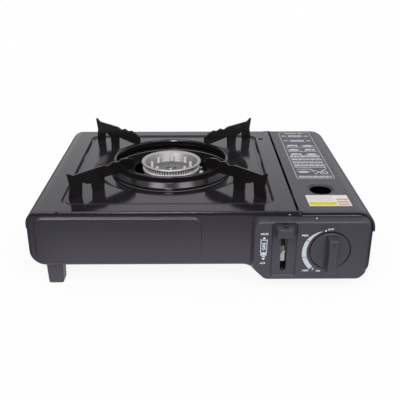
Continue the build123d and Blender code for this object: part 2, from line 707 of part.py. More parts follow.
with BuildPart() as control_panel:
    extrude(panel_outline(FACE_Y, 0), amount=FACE_Y - PANEL_Y, taper=PANEL_DRAFT)
    fillet(control_panel.faces().sort_by(Axis.Y)[0].edges(), 2.2)
    extrude(
        panel_outline(FACE_Y, PANEL_WALL),
        amount=FACE_Y - PANEL_Y - PANEL_WALL,
        taper=PANEL_DRAFT,
        mode=Mode.SUBTRACT,
    )
    with BuildSketch(front_plane(TRACK_Y + PANEL_WALL)):
        with Locations((SLOT_X, (SLOT_LOW_Z + SLOT_HIGH_Z) / 2 - 1)):
            Rectangle(TRACK_WIDTH + 4, SLOT_HIGH_Z - SLOT_LOW_Z + 10)
    extrude(amount=PANEL_WALL)
    with BuildSketch(front_plane(PANEL_Y + SEAT_DEPTH + PANEL_WALL)):
        with Locations((KNOB_X, KNOB_Z)):
            Circle(SEAT_R + PANEL_WALL)
    extrude(amount=PANEL_WALL + SEAT_DEPTH - 0.5)
    with BuildSketch(front_plane(FACE_Y)):
        with Locations(*PANEL_POSTS):
            Circle(3.4)
    extrude(amount=FACE_Y - PANEL_Y - PANEL_WALL + 0.5)
    with BuildSketch(front_plane(PANEL_Y)):
        with Locations((SLOT_X, (SLOT_LOW_Z + SLOT_HIGH_Z) / 2 - 2)):
            RectangleRounded(TRACK_WIDTH, SLOT_HIGH_Z - SLOT_LOW_Z + 8, 4.0)
    extrude(amount=-TRACK_DEPTH, taper=40, mode=Mode.SUBTRACT)
    with BuildSketch(front_plane(PANEL_Y - 1)):
        with Locations((SLOT_X, (SLOT_LOW_Z + SLOT_HIGH_Z) / 2)):
            SlotOverall(SLOT_HIGH_Z - SLOT_LOW_Z, SLOT_WIDTH, rotation=90)
        with Locations((KNOB_X, KNOB_Z)):
            Circle(SHAFT_R + 1)
    extrude(amount=-(FACE_Y - PANEL_Y + 2), mode=Mode.SUBTRACT)
    with BuildSketch(front_plane(PANEL_Y - 1)):
        with Locations((KNOB_X, KNOB_Z)):
            Circle(SEAT_R)
    extrude(amount=-(1 + SEAT_DEPTH), mode=Mode.SUBTRACT)
    with BuildSketch(front_plane(FACE_Y)):
        with Locations(*PANEL_POSTS):
            Circle(SCREW_R)
    extrude(amount=PANEL_PROUD - PANEL_WALL, mode=Mode.SUBTRACT)
control_panel.part.label = "control_panel"
export_step(control_panel.part, "parts/control_panel.step")


def shaft_section(y):
    """Round shaft section with its driving flat."""
    with BuildSketch(front_plane(y)) as section:
        with Locations((KNOB_X, KNOB_Z)):
            Circle(SHAFT_R)
        with Locations((KNOB_X, KNOB_Z - SHAFT_R)):
            Rectangle(
                2 * SHAFT_R,
                1.7 * SHAFT_R,
                align=(Align.CENTER, Align.MIN),
                mode=Mode.INTERSECT,
            )
    return section.sketch


# Control knob: disc with finger hollows, a drafted grip and a pointer line
KNOB_BACK_Y = PANEL_Y + SEAT_DEPTH - MOVE_GAP
KNOB_FACE_Y = PANEL_Y - KNOB_DISC
GRIP_Y = PANEL_Y - KNOB_PROUD
HOLLOW_R = 26.0
HOLLOW_DEPTH = 1.2
GRIP_ROOT = 2.0
SHAFT_END_Y = PANEL_Y - KNOB_DISC - 3.0
with BuildPart() as control_knob:
    with BuildSketch(front_plane(KNOB_BACK_Y)):
        with Locations((KNOB_X, KNOB_Z)):
            Circle(KNOB_R)
    extrude(amount=KNOB_BACK_Y - KNOB_FACE_Y)
    for side in (-1, 1):
        with Locations(
            (
                KNOB_X + side * (GRIP_WIDTH / 2 + 9.5),
                KNOB_FACE_Y - HOLLOW_R + HOLLOW_DEPTH,
                KNOB_Z,
            )
        ):
            Cylinder(HOLLOW_R, 3 * KNOB_R, mode=Mode.SUBTRACT)
    fillet(
        control_knob.edges().filter_by(lambda e: e.center().Y < KNOB_BACK_Y - 0.5).filter_by(
            lambda e: abs((e @ 0.5 - Vector(KNOB_X, (e @ 0.5).Y, KNOB_Z)).length - KNOB_R) < 0.05
        ),
        1.0,
    )
    with BuildSketch(front_plane(KNOB_FACE_Y + GRIP_ROOT)) as grip:
        with BuildLine():
            grip_right = ThreePointArc(
                (KNOB_X + GRIP_WIDTH / 2, KNOB_Z - GRIP_HALF),
                (KNOB_X + GRIP_WIDTH / 2 - GRIP_WAIST, KNOB_Z),
                (KNOB_X + GRIP_WIDTH / 2, KNOB_Z + GRIP_HALF),
            )
            grip_top = Line(grip_right @ 1, (KNOB_X - GRIP_WIDTH / 2, KNOB_Z + GRIP_HALF))
            grip_left = ThreePointArc(
                grip_top @ 1,
                (KNOB_X - GRIP_WIDTH / 2 + GRIP_WAIST, KNOB_Z),
                (KNOB_X - GRIP_WIDTH / 2, KNOB_Z - GRIP_HALF),
            )
            Line(grip_left @ 1, grip_right @ 0)
        make_face()
        fillet(grip.vertices(), 2.0)
    extrude(amount=KNOB_FACE_Y + GRIP_ROOT - GRIP_Y, taper=2)
    fillet(control_knob.faces().sort_by(Axis.Y)[0].edges(), 1.2)
    with BuildSketch(front_plane(GRIP_Y)):
        with Locations((KNOB_X, KNOB_Z + GRIP_HALF - 5.5)):
            SlotOverall(5.0, 1.1, rotation=90)
    extrude(amount=-0.6, mode=Mode.SUBTRACT)
    extrude(shaft_section(KNOB_BACK_Y), amount=KNOB_BACK_Y - SHAFT_END_Y, mode=Mode.SUBTRACT)
control_knob.part.label = "control_knob"
export_step(control_knob.part, "parts/control_knob.step")

# Valve shaft: turns with the knob and ends inside the regulator
SHAFT_IN_Y = REGULATOR_FRONT_Y + 8.0
with BuildPart() as valve_shaft:
    extrude(shaft_section(KNOB_BACK_Y), amount=KNOB_BACK_Y - SHAFT_END_Y)
    with BuildSketch(front_plane(KNOB_BACK_Y)):
        with Locations((KNOB_X, KNOB_Z)):
            Circle(SHAFT_R)
    extrude(amount=-(SHAFT_IN_Y - KNOB_BACK_Y))
valve_shaft.part.label = "valve_shaft"
export_step(valve_shaft.part, "parts/valve_shaft.step")

# Lock lever: flanked thumb piece in front of the track, with the finger behind it
LEVER_BACK_Y = TRACK_Y - MOVE_GAP
LEVER_FRONT_Y = PANEL_Y - LEVER_PROUD
LEVER_NOTCH = 5.0
FINGER_HALF = SLOT_WIDTH / 2 - 0.3
with BuildPart() as lock_lever:
    with BuildSketch(front_plane(LEVER_BACK_Y)):
        with Locations((SLOT_X, LEVER_LOW_Z)):
            Rectangle(
                LEVER_ROOT,
                LEVER_HIGH_Z + LEVER_CREST - LEVER_LOW_Z,
                align=(Align.CENTER, Align.MIN),
            )
    with BuildSketch(front_plane(LEVER_FRONT_Y)):
        with BuildLine():
            Polyline(
                (SLOT_X - LEVER_FACE_LOW / 2, LEVER_LOW_Z + 0.8),
                (SLOT_X + LEVER_FACE_LOW / 2, LEVER_LOW_Z + 0.8),
                (SLOT_X + LEVER_FACE_HIGH / 2, LEVER_HIGH_Z),
                (SLOT_X - LEVER_FACE_HIGH / 2, LEVER_HIGH_Z),
                close=True,
            )
        make_face()
    loft()
    fillet(lock_lever.faces().sort_by(Axis.Y)[0].edges(), 0.8)
    with Locations((SLOT_X, LEVER_BACK_Y - LEVER_NOTCH / 2 - 1.0, LEVER_HIGH_Z - 2.0)):
        Box(
            LEVER_NOTCH,
            LEVER_NOTCH,
            LEVER_NOTCH,
            align=(Align.CENTER, Align.CENTER, Align.MIN),
            mode=Mode.SUBTRACT,
        )
    with BuildSketch(front_plane(LEVER_BACK_Y)):
        with Locations((SLOT_X, (FINGER_LOW_Z + LEVER_HIGH_Z) / 2)):
            RectangleRounded(2 * FINGER_HALF, LEVER_HIGH_Z - FINGER_LOW_Z, 1.0)
    extrude(amount=-(DRIVE_Y + 3.5 - LEVER_BACK_Y))
    with BuildSketch(side_plane(SLOT_X)):
        with Locations((DRIVE_Y, PIN_Z)):
            Circle(DRIVE_PIN_R)
    extrude(amount=FINGER_HALF, mode=Mode.SUBTRACT)
lock_lever.part.label = "lock_lever"
export_step(lock_lever.part, "parts/lock_lever.step")

# Drive pin: steel pin in the lever finger that runs in the carriage slot
with BuildPart() as drive_pin:
    with BuildSketch(side_plane(SLOT_X)):
        with Locations((DRIVE_Y, PIN_Z)):
            Circle(DRIVE_PIN_R)
    extrude(amount=CARRIAGE_X + CARRIAGE_SHEET + 1.4 - SLOT_X)
drive_pin.part.label = "drive_pin"
export_step(drive_pin.part, "parts/drive_pin.step")

# Cartridge carriage: side plate with the slanted slot, and the yoke for the cartridge collar
BLOCK_LOW_Z = 24.0
BLOCK_FRONT_Y = INSIDE_Y + CARRIAGE_TRAVEL + MOVE_GAP
BLOCK_HIGH_Z = FINGER_LOW_Z - LEVER_TRAVEL - MOVE_GAP
SLOT_RUN = sqrt(LEVER_TRAVEL**2 + CARRIAGE_TRAVEL**2)
SLOT_TILT = -degrees(acos(CARRIAGE_TRAVEL / SLOT_RUN))
with BuildPart() as cartridge_carriage:
    with BuildSketch(side_plane(CARRIAGE_X)):
        with Locations((LOBE_FRONT_Y, BLOCK_LOW_Z)):
            Rectangle(
                LOBE_REAR_Y - LOBE_FRONT_Y,
                PIN_Z + DRIVE_PIN_R + 3.2 - BLOCK_LOW_Z,
                align=(Align.MIN, Align.MIN),
            )
        with Locations((LOBE_FRONT_Y + 2, BAR_LOW_Z)):
            Rectangle(
                YOKE_Y + CARRIAGE_SHEET - LOBE_FRONT_Y - 2,
                BAR_HIGH_Z - BAR_LOW_Z,
                align=(Align.MIN, Align.MIN),
            )
        with Locations((DRIVE_Y + CARRIAGE_TRAVEL / 2, PIN_Z - LEVER_TRAVEL / 2)):
            SlotCenterToCenter(
                SLOT_RUN, 2 * (DRIVE_PIN_R + 0.35), rotation=SLOT_TILT, mode=Mode.SUBTRACT
            )
    extrude(amount=CARRIAGE_SHEET)
    with BuildSketch(front_plane(YOKE_Y)):
        with Locations((CARRIAGE_X, BAR_LOW_Z)):
            Rectangle(
                CARTRIDGE_X - COLLAR_R - CARRIAGE_X,
                BAR_HIGH_Z - BAR_LOW_Z,
                align=(Align.MIN, Align.MIN),
            )
        with Locations((CARTRIDGE_X, BAR_HIGH_Z)):
            RectangleRounded(
                2 * COLLAR_R + 13, BAR_HIGH_Z - YOKE_LOW_Z, 5, align=(Align.CENTER, Align.MAX)
            )
        with Locations((CARTRIDGE_X, CARTRIDGE_Z)):
            Circle(COLLAR_R, mode=Mode.SUBTRACT)
            Rectangle(
                2 * COLLAR_R, BAR_HIGH_Z, align=(Align.CENTER, Align.MIN), mode=Mode.SUBTRACT
            )
    extrude(amount=-CARRIAGE_SHEET)
cartridge_carriage.part.label = "cartridge_carriage"
export_step(cartridge_carriage.part, "parts/cartridge_carriage.step")

# Slide block: white moulded guide on the carriage, its slanted top shows behind the slot
with BuildPart() as slide_block:
    with BuildSketch(front_plane(BLOCK_FRONT_Y)):
        with BuildLine():
            Polyline(
                (SLOT_X - 4.4, BLOCK_LOW_Z + 1),
                (SLOT_X - 4.4, BLOCK_HIGH_Z - 7.4),
                (SLOT_X + 2.8, BLOCK_HIGH_Z),
                (CARRIAGE_X, BLOCK_HIGH_Z),
                (CARRIAGE_X, BLOCK_LOW_Z + 1),
                close=True,
            )
        make_face()
    extrude(amount=-12)
slide_block.part.label = "slide_block"
export_step(slide_block.part, "parts/slide_block.step")

# Carriage rails: two clips on the partition that the side plate runs in
RAIL_LIP_X = CARRIAGE_X - MOVE_GAP
with BuildPart() as carriage_rails:
    with BuildSketch(front_plane(LOBE_REAR_Y + 3)):
        for rail_z, rail_dir in ((BAR_LOW_Z - MOVE_GAP, -1), (BAR_HIGH_Z + MOVE_GAP, 1)):
            rail_align = Align.MAX if rail_dir < 0 else Align.MIN
            lip_align = Align.MIN if rail_dir < 0 else Align.MAX
            with Locations((WALL_LEFT_X, rail_z)):
                Rectangle(WALL_LEFT_X - RAIL_LIP_X + 1.5, 2.6, align=(Align.MAX, rail_align))
            with Locations((RAIL_LIP_X, rail_z)):
                Rectangle(1.5, 2.4, align=(Align.MAX, lip_align))
    extrude(amount=-18)
carriage_rails.part.label = "carriage_rails"
export_step(carriage_rails.part, "parts/carriage_rails.step")

# Regulator: cast body with mounting neck, inlet boss and angled outlet boss
NECK_R = 13.0
BOSS_R = 10.0
INLET_Y = REGULATOR_REAR_Y + 6.0
COVER_Z = REGULATOR_HIGH_Z - 17.0
COVER_Y = (REGULATOR_FRONT_Y + REGULATOR_REAR_Y) / 2
JET_R = 3.6
with BuildPart() as regulator_body:
    with BuildSketch(front_plane(REGULATOR_FRONT_Y)):
        with Locations((REGULATOR_LEFT_X, REGULATOR_LOW_Z)):
            Rectangle(
                REGULATOR_RIGHT_X - REGULATOR_LEFT_X,
                REGULATOR_HIGH_Z - REGULATOR_LOW_Z,
                align=(Align.MIN, Align.MIN),
            )
    extrude(amount=-(REGULATOR_REAR_Y - REGULATOR_FRONT_Y))
    fillet(regulator_body.edges().filter_by(Axis.Y), 4.0)
    with BuildSketch(front_plane(INSIDE_Y)):
        with Locations((KNOB_X, KNOB_Z)):
            Circle(NECK_R)
    extrude(amount=-(REGULATOR_FRONT_Y - INSIDE_Y))
    with BuildSketch(front_plane(REGULATOR_REAR_Y)):
        with Locations((CARTRIDGE_X, CARTRIDGE_Z)):
            Circle(BOSS_R)
    extrude(amount=-(INLET_Y - REGULATOR_REAR_Y))
    with BuildSketch(tube_plane(BOSS_T)):
        Circle(6.5)
    extrude(amount=18)
    with BuildSketch(tube_plane(BOSS_T)):
        Circle(JET_R - 0.8)
    extrude(amount=8, mode=Mode.SUBTRACT)
    with BuildSketch(front_plane(INSIDE_Y)):
        with Locations((KNOB_X, KNOB_Z)):
            Circle(SHAFT_R + RUN_GAP)
    extrude(amount=-(SHAFT_IN_Y + 1.0 - INSIDE_Y), mode=Mode.SUBTRACT)
    with BuildSketch(front_plane(INSIDE_Y)):
        with Locations(*REGULATOR_BOLTS):
            Circle(SCREW_R)
    extrude(amount=-(REGULATOR_FRONT_Y - INSIDE_Y), mode=Mode.SUBTRACT)
    with BuildSketch(front_plane(INLET_Y)):
        with Locations((CARTRIDGE_X, CARTRIDGE_Z)):
            Circle(3.2)
    extrude(amount=10, mode=Mode.SUBTRACT)
regulator_body.part.label = "regulator_body"
export_step(regulator_body.part, "parts/regulator_body.step")

# Diaphragm cover: pressed dish on the right side of the regulator
with BuildPart() as diaphragm_cover:
    with BuildSketch(side_plane(REGULATOR_RIGHT_X)):
        with Locations((COVER_Y, COVER_Z)):
            Circle(15.5)
    extrude(amount=2.0)
    with BuildSketch(side_plane(REGULATOR_RIGHT_X + 2.0)):
        with Locations((COVER_Y, COVER_Z)):
            Circle(12.0)
    extrude(amount=4.5, taper=15)
    fillet(diaphragm_cover.faces().sort_by(Axis.X)[-1].edges(), 1.2)
diaphragm_cover.part.label = "diaphragm_cover"
export_step(diaphragm_cover.part, "parts/diaphragm_cover.step")

# Gas inlet and its seal ring on the cartridge axis
with BuildPart() as gas_inlet:
    with BuildSketch(front_plane(INLET_Y)):
        with Locations((CARTRIDGE_X, CARTRIDGE_Z)):
            Circle(3.2)
            Circle(1.0, mode=Mode.SUBTRACT)
    extrude(amount=8)
    with BuildSketch(front_plane(INLET_Y)):
        with Locations((CARTRIDGE_X, CARTRIDGE_Z)):
            RegularPolygon(7.0, 6)
            Circle(1.0, mode=Mode.SUBTRACT)
    extrude(amount=-2.0)
    with BuildSketch(front_plane(INLET_Y + 2.0)):
        with Locations((CARTRIDGE_X, CARTRIDGE_Z)):
            Circle(2.6)
            Circle(1.0, mode=Mode.SUBTRACT)
    extrude(amount=-4.5)
gas_inlet.part.label = "gas_inlet"
export_step(gas_inlet.part, "parts/gas_inlet.step")

with BuildPart() as inlet_seal:
    with BuildSketch(front_plane(INLET_Y + 2.0)):
        with Locations((CARTRIDGE_X, CARTRIDGE_Z)):
            Circle(5.0)
            Circle(2.6, mode=Mode.SUBTRACT)
    extrude(amount=-2.0)
    fillet(inlet_seal.edges().filter_by(GeomType.CIRCLE).group_by(Axis.Y)[-1], 0.6)
inlet_seal.part.label = "inlet_seal"
export_step(inlet_seal.part, "parts/inlet_seal.step")

# Cartridge guide: plate behind the regulator with the key for the collar notch
GUIDE_SHEET = 1.2
GUIDE_HEAD = COLLAR_R + 1.5
with BuildPart() as cartridge_guide:
    with BuildSketch(front_plane(REGULATOR_REAR_Y)):
        with Locations((CARTRIDGE_X, BAY_FLOOR_Z)):
            Rectangle(
                2 * COLLAR_R + 9,
                CARTRIDGE_Z - BAY_FLOOR_Z + GUIDE_HEAD,
                align=(Align.CENTER, Align.MIN),
            )
        with Locations((CARTRIDGE_X, CARTRIDGE_Z)):
            Circle(BOSS_R + 0.3, mode=Mode.SUBTRACT)
    extrude(amount=-GUIDE_SHEET)
    fillet(
        cartridge_guide.edges().filter_by(Axis.Y).group_by(Axis.Z)[-1],
        4.0,
    )
    with BuildSketch(front_plane(REGULATOR_REAR_Y)):
        with Locations((CARTRIDGE_X, CARTRIDGE_Z + GUIDE_HEAD)):
            Rectangle(6, GUIDE_SHEET, align=(Align.CENTER, Align.MAX))
    extrude(amount=-12)
cartridge_guide.part.label = "cartridge_guide"
export_step(cartridge_guide.part, "parts/cartridge_guide.step")

# Gas jet and mixing tube on the tube line
with BuildPart() as gas_jet:
    with BuildSketch(tube_plane(BOSS_T)):
        Circle(JET_R - 0.8)
        Circle(0.8, mode=Mode.SUBTRACT)
    extrude(amount=6)
    with BuildSketch(tube_plane(BOSS_T)):
        RegularPolygon(5.2, 6)
        Circle(0.8, mode=Mode.SUBTRACT)
    extrude(amount=-3.0)
    with BuildSketch(tube_plane(BOSS_T - 3.0)):
        Circle(2.4)
        Circle(0.8, mode=Mode.SUBTRACT)
    extrude(amount=-2.5)
gas_jet.part.label = "gas_jet"
export_step(gas_jet.part, "parts/gas_jet.step")

STUB_T = 30.0
TUBE_SECTION = Plane(
    (BURNER_X, BURNER_Y, TUBE_Z), x_dir=(TUBE_UX, TUBE_UY, 0), z_dir=(TUBE_UY, -TUBE_UX, 0)
)
with BuildPart() as mixing_tube:
    with BuildSketch(TUBE_SECTION):
        with BuildLine():
            Polyline(
                (STUB_T - 12, TUBE_R - TUBE_WALL),
                (STUB_T - 12, TUBE_R),
                (MOUTH_T - 34, TUBE_R),
                (MOUTH_T - 22, TUBE_R - 2.0),
                (MOUTH_T - 12, TUBE_R - 2.0),
                (MOUTH_T, TUBE_R + 2.0),
                (MOUTH_T, TUBE_R + 2.0 - TUBE_WALL),
                (MOUTH_T - 12, TUBE_R - 2.0 - TUBE_WALL),
                (MOUTH_T - 22, TUBE_R - 2.0 - TUBE_WALL),
                (MOUTH_T - 34, TUBE_R - TUBE_WALL),
                close=True,
            )
        make_face()
    revolve(axis=Axis((BURNER_X, BURNER_Y, TUBE_Z), (TUBE_UX, TUBE_UY, 0)))
mixing_tube.part.label = "mixing_tube"
export_step(mixing_tube.part, "parts/mixing_tube.step")

# Burner base: cast chamber and bowl with the tube socket and the electrode arm
CHAMBER_R = 17.0
BASE_LOW_Z = TUBE_Z - 11.0
SEAT_Z = CAP_RIM_Z - 10.0
STUB_R = TUBE_R + 2.2
ELECTRODE_R = CAP_RIM_R + 4.0
ELECTRODE_ANGLE = -26.0
INSULATOR_R = 2.6
ARM_Z = 70.0
ARM_PLANE = Plane(
    (BURNER_X, BURNER_Y, ARM_Z),
    x_dir=(cos(radians(ELECTRODE_ANGLE)), sin(radians(ELECTRODE_ANGLE)), 0),
    z_dir=(0, 0, 1),
)
with BuildPart() as burner_base:
    with BuildSketch(radial_plane(BURNER_X, BURNER_Y, 0)):
        with BuildLine():
            Polyline(
                (0, BASE_LOW_Z),
                (CHAMBER_R, BASE_LOW_Z),
                (CHAMBER_R, TUBE_Z + 13),
                (CAP_WALL_R - 1, SEAT_Z - 10),
                (CAP_WALL_R + 0.6, SEAT_Z - 8),
                (CAP_WALL_R + 0.6, SEAT_Z),
                (0, SEAT_Z),
                close=True,
            )
        make_face()
    revolve(axis=BURNER_AXIS)
    with BuildSketch(tube_plane(0)):
        Circle(STUB_R)
    extrude(amount=STUB_T)
    with BuildSketch(ARM_PLANE):
        with Locations((20, 0)):
            Rectangle(ELECTRODE_R - 20, 7.6, align=(Align.MIN, Align.CENTER))
        with Locations((ELECTRODE_R, 0)):
            Circle(INSULATOR_R + 1.2)
    extrude(amount=-3.0)
    with BuildSketch(radial_plane(BURNER_X, BURNER_Y, 0)):
        with BuildLine():
            Polyline(
                (0, BASE_LOW_Z + 3),
                (CHAMBER_R - 3, BASE_LOW_Z + 3),
                (CHAMBER_R - 3, TUBE_Z + 14),
                (CAP_WALL_R - 2.5, SEAT_Z - 7),
                (CAP_WALL_R - 2.5, SEAT_Z + 1),
                (0, SEAT_Z + 1),
                close=True,
            )
        make_face()
    revolve(axis=BURNER_AXIS, mode=Mode.SUBTRACT)
    with BuildSketch(tube_plane(STUB_T - 12)):
        Circle(TUBE_R)
    extrude(amount=20, mode=Mode.SUBTRACT)
    with BuildSketch(tube_plane(0)):
        Circle(TUBE_R - TUBE_WALL)
    extrude(amount=STUB_T, mode=Mode.SUBTRACT)
    with BuildSketch(ARM_PLANE):
        with Locations((ELECTRODE_R, 0)):
            Circle(INSULATOR_R)
    extrude(amount=-4.0, mode=Mode.SUBTRACT)
burner_base.part.label = "burner_base"
export_step(burner_base.part, "parts/burner_base.step")

# Burner bracket: hat-shaped strap between the floor and the burner base
BRACKET_SHEET = 1.2
BRACKET_PLANE = Plane(
    (BURNER_X, BURNER_Y, 0), x_dir=(-TUBE_UY, TUBE_UX, 0), z_dir=(TUBE_UX, TUBE_UY, 0)
)
with BuildPart() as burner_bracket:
    with BuildSketch(BRACKET_PLANE.offset(-9)):
        with BuildLine():
            Polyline(
                (-BRACKET_HOLE - 6, FLOOR_Z),
                (-CHAMBER_R - 6, FLOOR_Z),
                (-CHAMBER_R - 4, BASE_LOW_Z - BRACKET_SHEET),
                (CHAMBER_R + 4, BASE_LOW_Z - BRACKET_SHEET),
                (CHAMBER_R + 6, FLOOR_Z),
                (BRACKET_HOLE + 6, FLOOR_Z),
                (BRACKET_HOLE + 6, FLOOR_Z + BRACKET_SHEET),
                (CHAMBER_R + 6 + BRACKET_SHEET, FLOOR_Z + BRACKET_SHEET),
                (CHAMBER_R + 4 + BRACKET_SHEET, BASE_LOW_Z),
                (-CHAMBER_R - 4 - BRACKET_SHEET, BASE_LOW_Z),
                (-CHAMBER_R - 6 - BRACKET_SHEET, FLOOR_Z + BRACKET_SHEET),
                (-BRACKET_HOLE - 6, FLOOR_Z + BRACKET_SHEET),
                close=True,
            )
        make_face()
    extrude(amount=18)
    with BuildSketch(Plane.XY.offset(FLOOR_Z - 1)):
        with Locations(*BRACKET_HOLES):
            Circle(SCREW_R)
    extrude(amount=4, mode=Mode.SUBTRACT)
burner_bracket.part.label = "burner_bracket"
export_step(burner_bracket.part, "parts/burner_bracket.step")

# Burner cap: flared slotted head with posts standing on its hollow cone
CONE_TOP_R = CAP_RIM_R - 4.6
CONE_LOW_R = CAP_RIM_R - 11.6
CONE_LOW_Z = SEAT_Z - 0.6
POST_R = CAP_RIM_R - 12.3
with BuildPart() as burner_cap:
    with BuildSketch(radial_plane(BURNER_X, BURNER_Y, 0)):
        with BuildLine():
            Polyline(
                (6, CONE_LOW_Z - 2.2),
                (CONE_LOW_R - 1, CONE_LOW_Z - 2.2),
                (CAP_WALL_R - 3.0, SEAT_Z),
                (CAP_WALL_R + 1.2, SEAT_Z),
                (CAP_WALL_R + 1.2, SEAT_Z + 1.8),
                (CAP_WALL_R - 0.4, SEAT_Z + 2.4),
                (CAP_WALL_R - 0.4, CAP_RIM_Z - 3.2),
                (CAP_RIM_R - 0.3, CAP_RIM_Z - 1.9),
                (CAP_RIM_R, CAP_RIM_Z - 1.2),
                (CAP_RIM_R - 0.5, CAP_RIM_Z - 0.3),
                (CAP_RIM_R - 1.4, CAP_RIM_Z),
                (CONE_TOP_R + 1.6, CAP_RIM_Z - 0.3),
                (CONE_TOP_R, CAP_RIM_Z - 1.6),
                (CONE_LOW_R, CONE_LOW_Z),
                (6, CONE_LOW_Z),
                close=True,
            )
        make_face()
    revolve(axis=BURNER_AXIS)
    with BuildSketch(radial_plane(BURNER_X, BURNER_Y, 0)):
        with BuildLine():
            Polyline(
                (CONE_LOW_R + 3.0, SEAT_Z - 1.0),
                (CAP_WALL_R - 2.5, SEAT_Z - 1.0),
                (CAP_WALL_R - 2.5, CAP_RIM_Z - 4.0),
                close=True,
            )
        make_face()
    revolve(axis=BURNER_AXIS, mode=Mode.SUBTRACT)
    with BuildSketch(Plane.XY.offset(SEAT_Z + 2.8)):
        with Locations((BURNER_X, BURNER_Y)):
            with PolarLocations(CAP_WALL_R, CAP_SLOTS):
                Rectangle(5.4, CAP_SLOT_WIDTH)
    extrude(amount=CAP_RIM_Z - 3.4 - SEAT_Z - 2.8, mode=Mode.SUBTRACT)
    with BuildSketch(Plane.XY.offset(CONE_LOW_Z)):
        with Locations((BURNER_X, BURNER_Y)):
            with PolarLocations(POST_R, 8):
                Circle(1.8)
    extrude(amount=CAP_RIM_Z - 2.4 - CONE_LOW_Z, taper=2)
    with BuildSketch(Plane.XY.offset(CAP_RIM_Z - 5.0)):
        with Locations((BURNER_X, BURNER_Y)):
            with PolarLocations(POST_R, 8):
                Circle(0.8)
    extrude(amount=5.0, mode=Mode.SUBTRACT)
    with BuildSketch(Plane.XY.offset(CONE_LOW_Z - 1.8)):
        with Locations((BURNER_X, BURNER_Y)):
            Circle(2.6)
            with PolarLocations(3.4, 3, start_angle=90):
                Rectangle(6.8, 1.8)
    extrude(amount=2.4)
burner_cap.part.label = "burner_cap"
export_step(burner_cap.part, "parts/burner_cap.step")

# Spark electrode in its insulator
ELECTRODE_X = BURNER_X + ELECTRODE_R * cos(radians(ELECTRODE_ANGLE))
ELECTRODE_Y = BURNER_Y + ELECTRODE_R * sin(radians(ELECTRODE_ANGLE))
PIN_WIRE_R = 1.0
INSULATOR_LOW_Z = ARM_Z - 6.0
with BuildPart() as electrode_insulator:
    with BuildSketch(radial_plane(ELECTRODE_X, ELECTRODE_Y, 0)):
        with BuildLine():
            Polyline(
                (PIN_WIRE_R, INSULATOR_LOW_Z),
                (INSULATOR_R, INSULATOR_LOW_Z),
                (INSULATOR_R, ARM_Z),
                (INSULATOR_R + 0.9, ARM_Z),
                (INSULATOR_R + 0.9, ARM_Z + 3),
                (INSULATOR_R - 0.3, ARM_Z + 5),
                (INSULATOR_R - 0.3, SEAT_Z + 2),
                (INSULATOR_R - 0.9, SEAT_Z + 3),
                (PIN_WIRE_R, SEAT_Z + 3),
                close=True,
            )
        make_face()
    revolve(axis=Axis((ELECTRODE_X, ELECTRODE_Y, 0), (0, 0, 1)))
electrode_insulator.part.label = "electrode_insulator"
export_step(electrode_insulator.part, "parts/electrode_insulator.step")

with BuildPart() as electrode_pin:
    with Locations((ELECTRODE_X, ELECTRODE_Y, INSULATOR_LOW_Z - 3)):
        Cylinder(
            PIN_WIRE_R,
            CAP_RIM_Z - 2.5 - INSULATOR_LOW_Z + 3,
            align=(Align.CENTER, Align.CENTER, Align.MIN),
        )
    chamfer(electrode_pin.edges().group_by(Axis.Z)[-1], 0.4)
electrode_pin.part.label = "electrode_pin"
export_step(electrode_pin.part, "parts/electrode_pin.step")

# Piezo igniter beside the regulator, and the lead to the electrode
PIEZO_X = REGULATOR_LEFT_X - 6.5
PIEZO_Z = REGULATOR_HIGH_Z - 6.5
PIEZO_REAR_Y = REGULATOR_FRONT_Y + 26.0
with BuildPart() as piezo_igniter:
    with BuildSketch(front_plane(REGULATOR_FRONT_Y)):
        with Locations((PIEZO_X, PIEZO_Z)):
            RectangleRounded(13, 13, 1.5)
    extrude(amount=-(PIEZO_REAR_Y - REGULATOR_FRONT_Y))
    with BuildSketch(front_plane(REGULATOR_FRONT_Y)):
        with Locations((PIEZO_X, PIEZO_Z)):
            Circle(4.0)
    extrude(amount=4)
piezo_igniter.part.label = "piezo_igniter"
export_step(piezo_igniter.part, "parts/piezo_igniter.step")

LEAD_LOW_Z = INSULATOR_LOW_Z - 9.5
with BuildPart() as ignition_lead:
    with BuildLine():
        FilletPolyline(
            (PIEZO_X, PIEZO_REAR_Y, PIEZO_Z),
            (PIEZO_X, LEAD_Y, PIEZO_Z),
            (PIEZO_X, LEAD_Y, LEAD_Z),
            (LEAD_DROP_X, LEAD_Y, LEAD_Z),
            (LEAD_DROP_X, LEAD_Y, LEAD_LOW_Z),
            (ELECTRODE_X, ELECTRODE_Y, LEAD_LOW_Z),
            (ELECTRODE_X, ELECTRODE_Y, INSULATOR_LOW_Z - 3),
            radius=4,
        )
    with BuildSketch(front_plane(PIEZO_REAR_Y)):
        with Locations((PIEZO_X, PIEZO_Z)):
            Circle(LEAD_R)
    sweep()
ignition_lead.part.label = "ignition_lead"
export_step(ignition_lead.part, "parts/ignition_lead.step")

# Pan support: ring with a rolled rim and a flared foot, and four notched arms standing on the tray
RING_MID = RING_SHEET / 2
with BuildPart() as support_ring:
    with BuildSketch(radial_plane(BURNER_X, BURNER_Y, 0)):
        with BuildLine():
            FilletPolyline(
                (RING_R + RING_FLARE, RING_LOW_Z),
                (RING_R + RING_FLARE, RING_LOW_Z + RING_FOOT),
                (RING_R - 1.4, RING_LOW_Z + RING_FOOT + 5.0),
                (RING_R - RING_MID, RING_TOP_Z - RING_MID),
                (RING_R - RING_LIP + RING_MID, RING_TOP_Z - RING_MID),
                (RING_R - RING_LIP, RING_TOP_Z - 2.6),
                radius=1.0,
            )
            offset(amount=RING_MID)
        make_face()
    revolve(axis=BURNER_AXIS)
support_ring.part.label = "support_ring"
export_step(support_ring.part, "parts/support_ring.step")


def arm_s(share):
    """Distance from the burner axis, from the ring (0) to the tip of an arm (1)."""
    return RING_R + share * (ARM_TIP_S - RING_R)


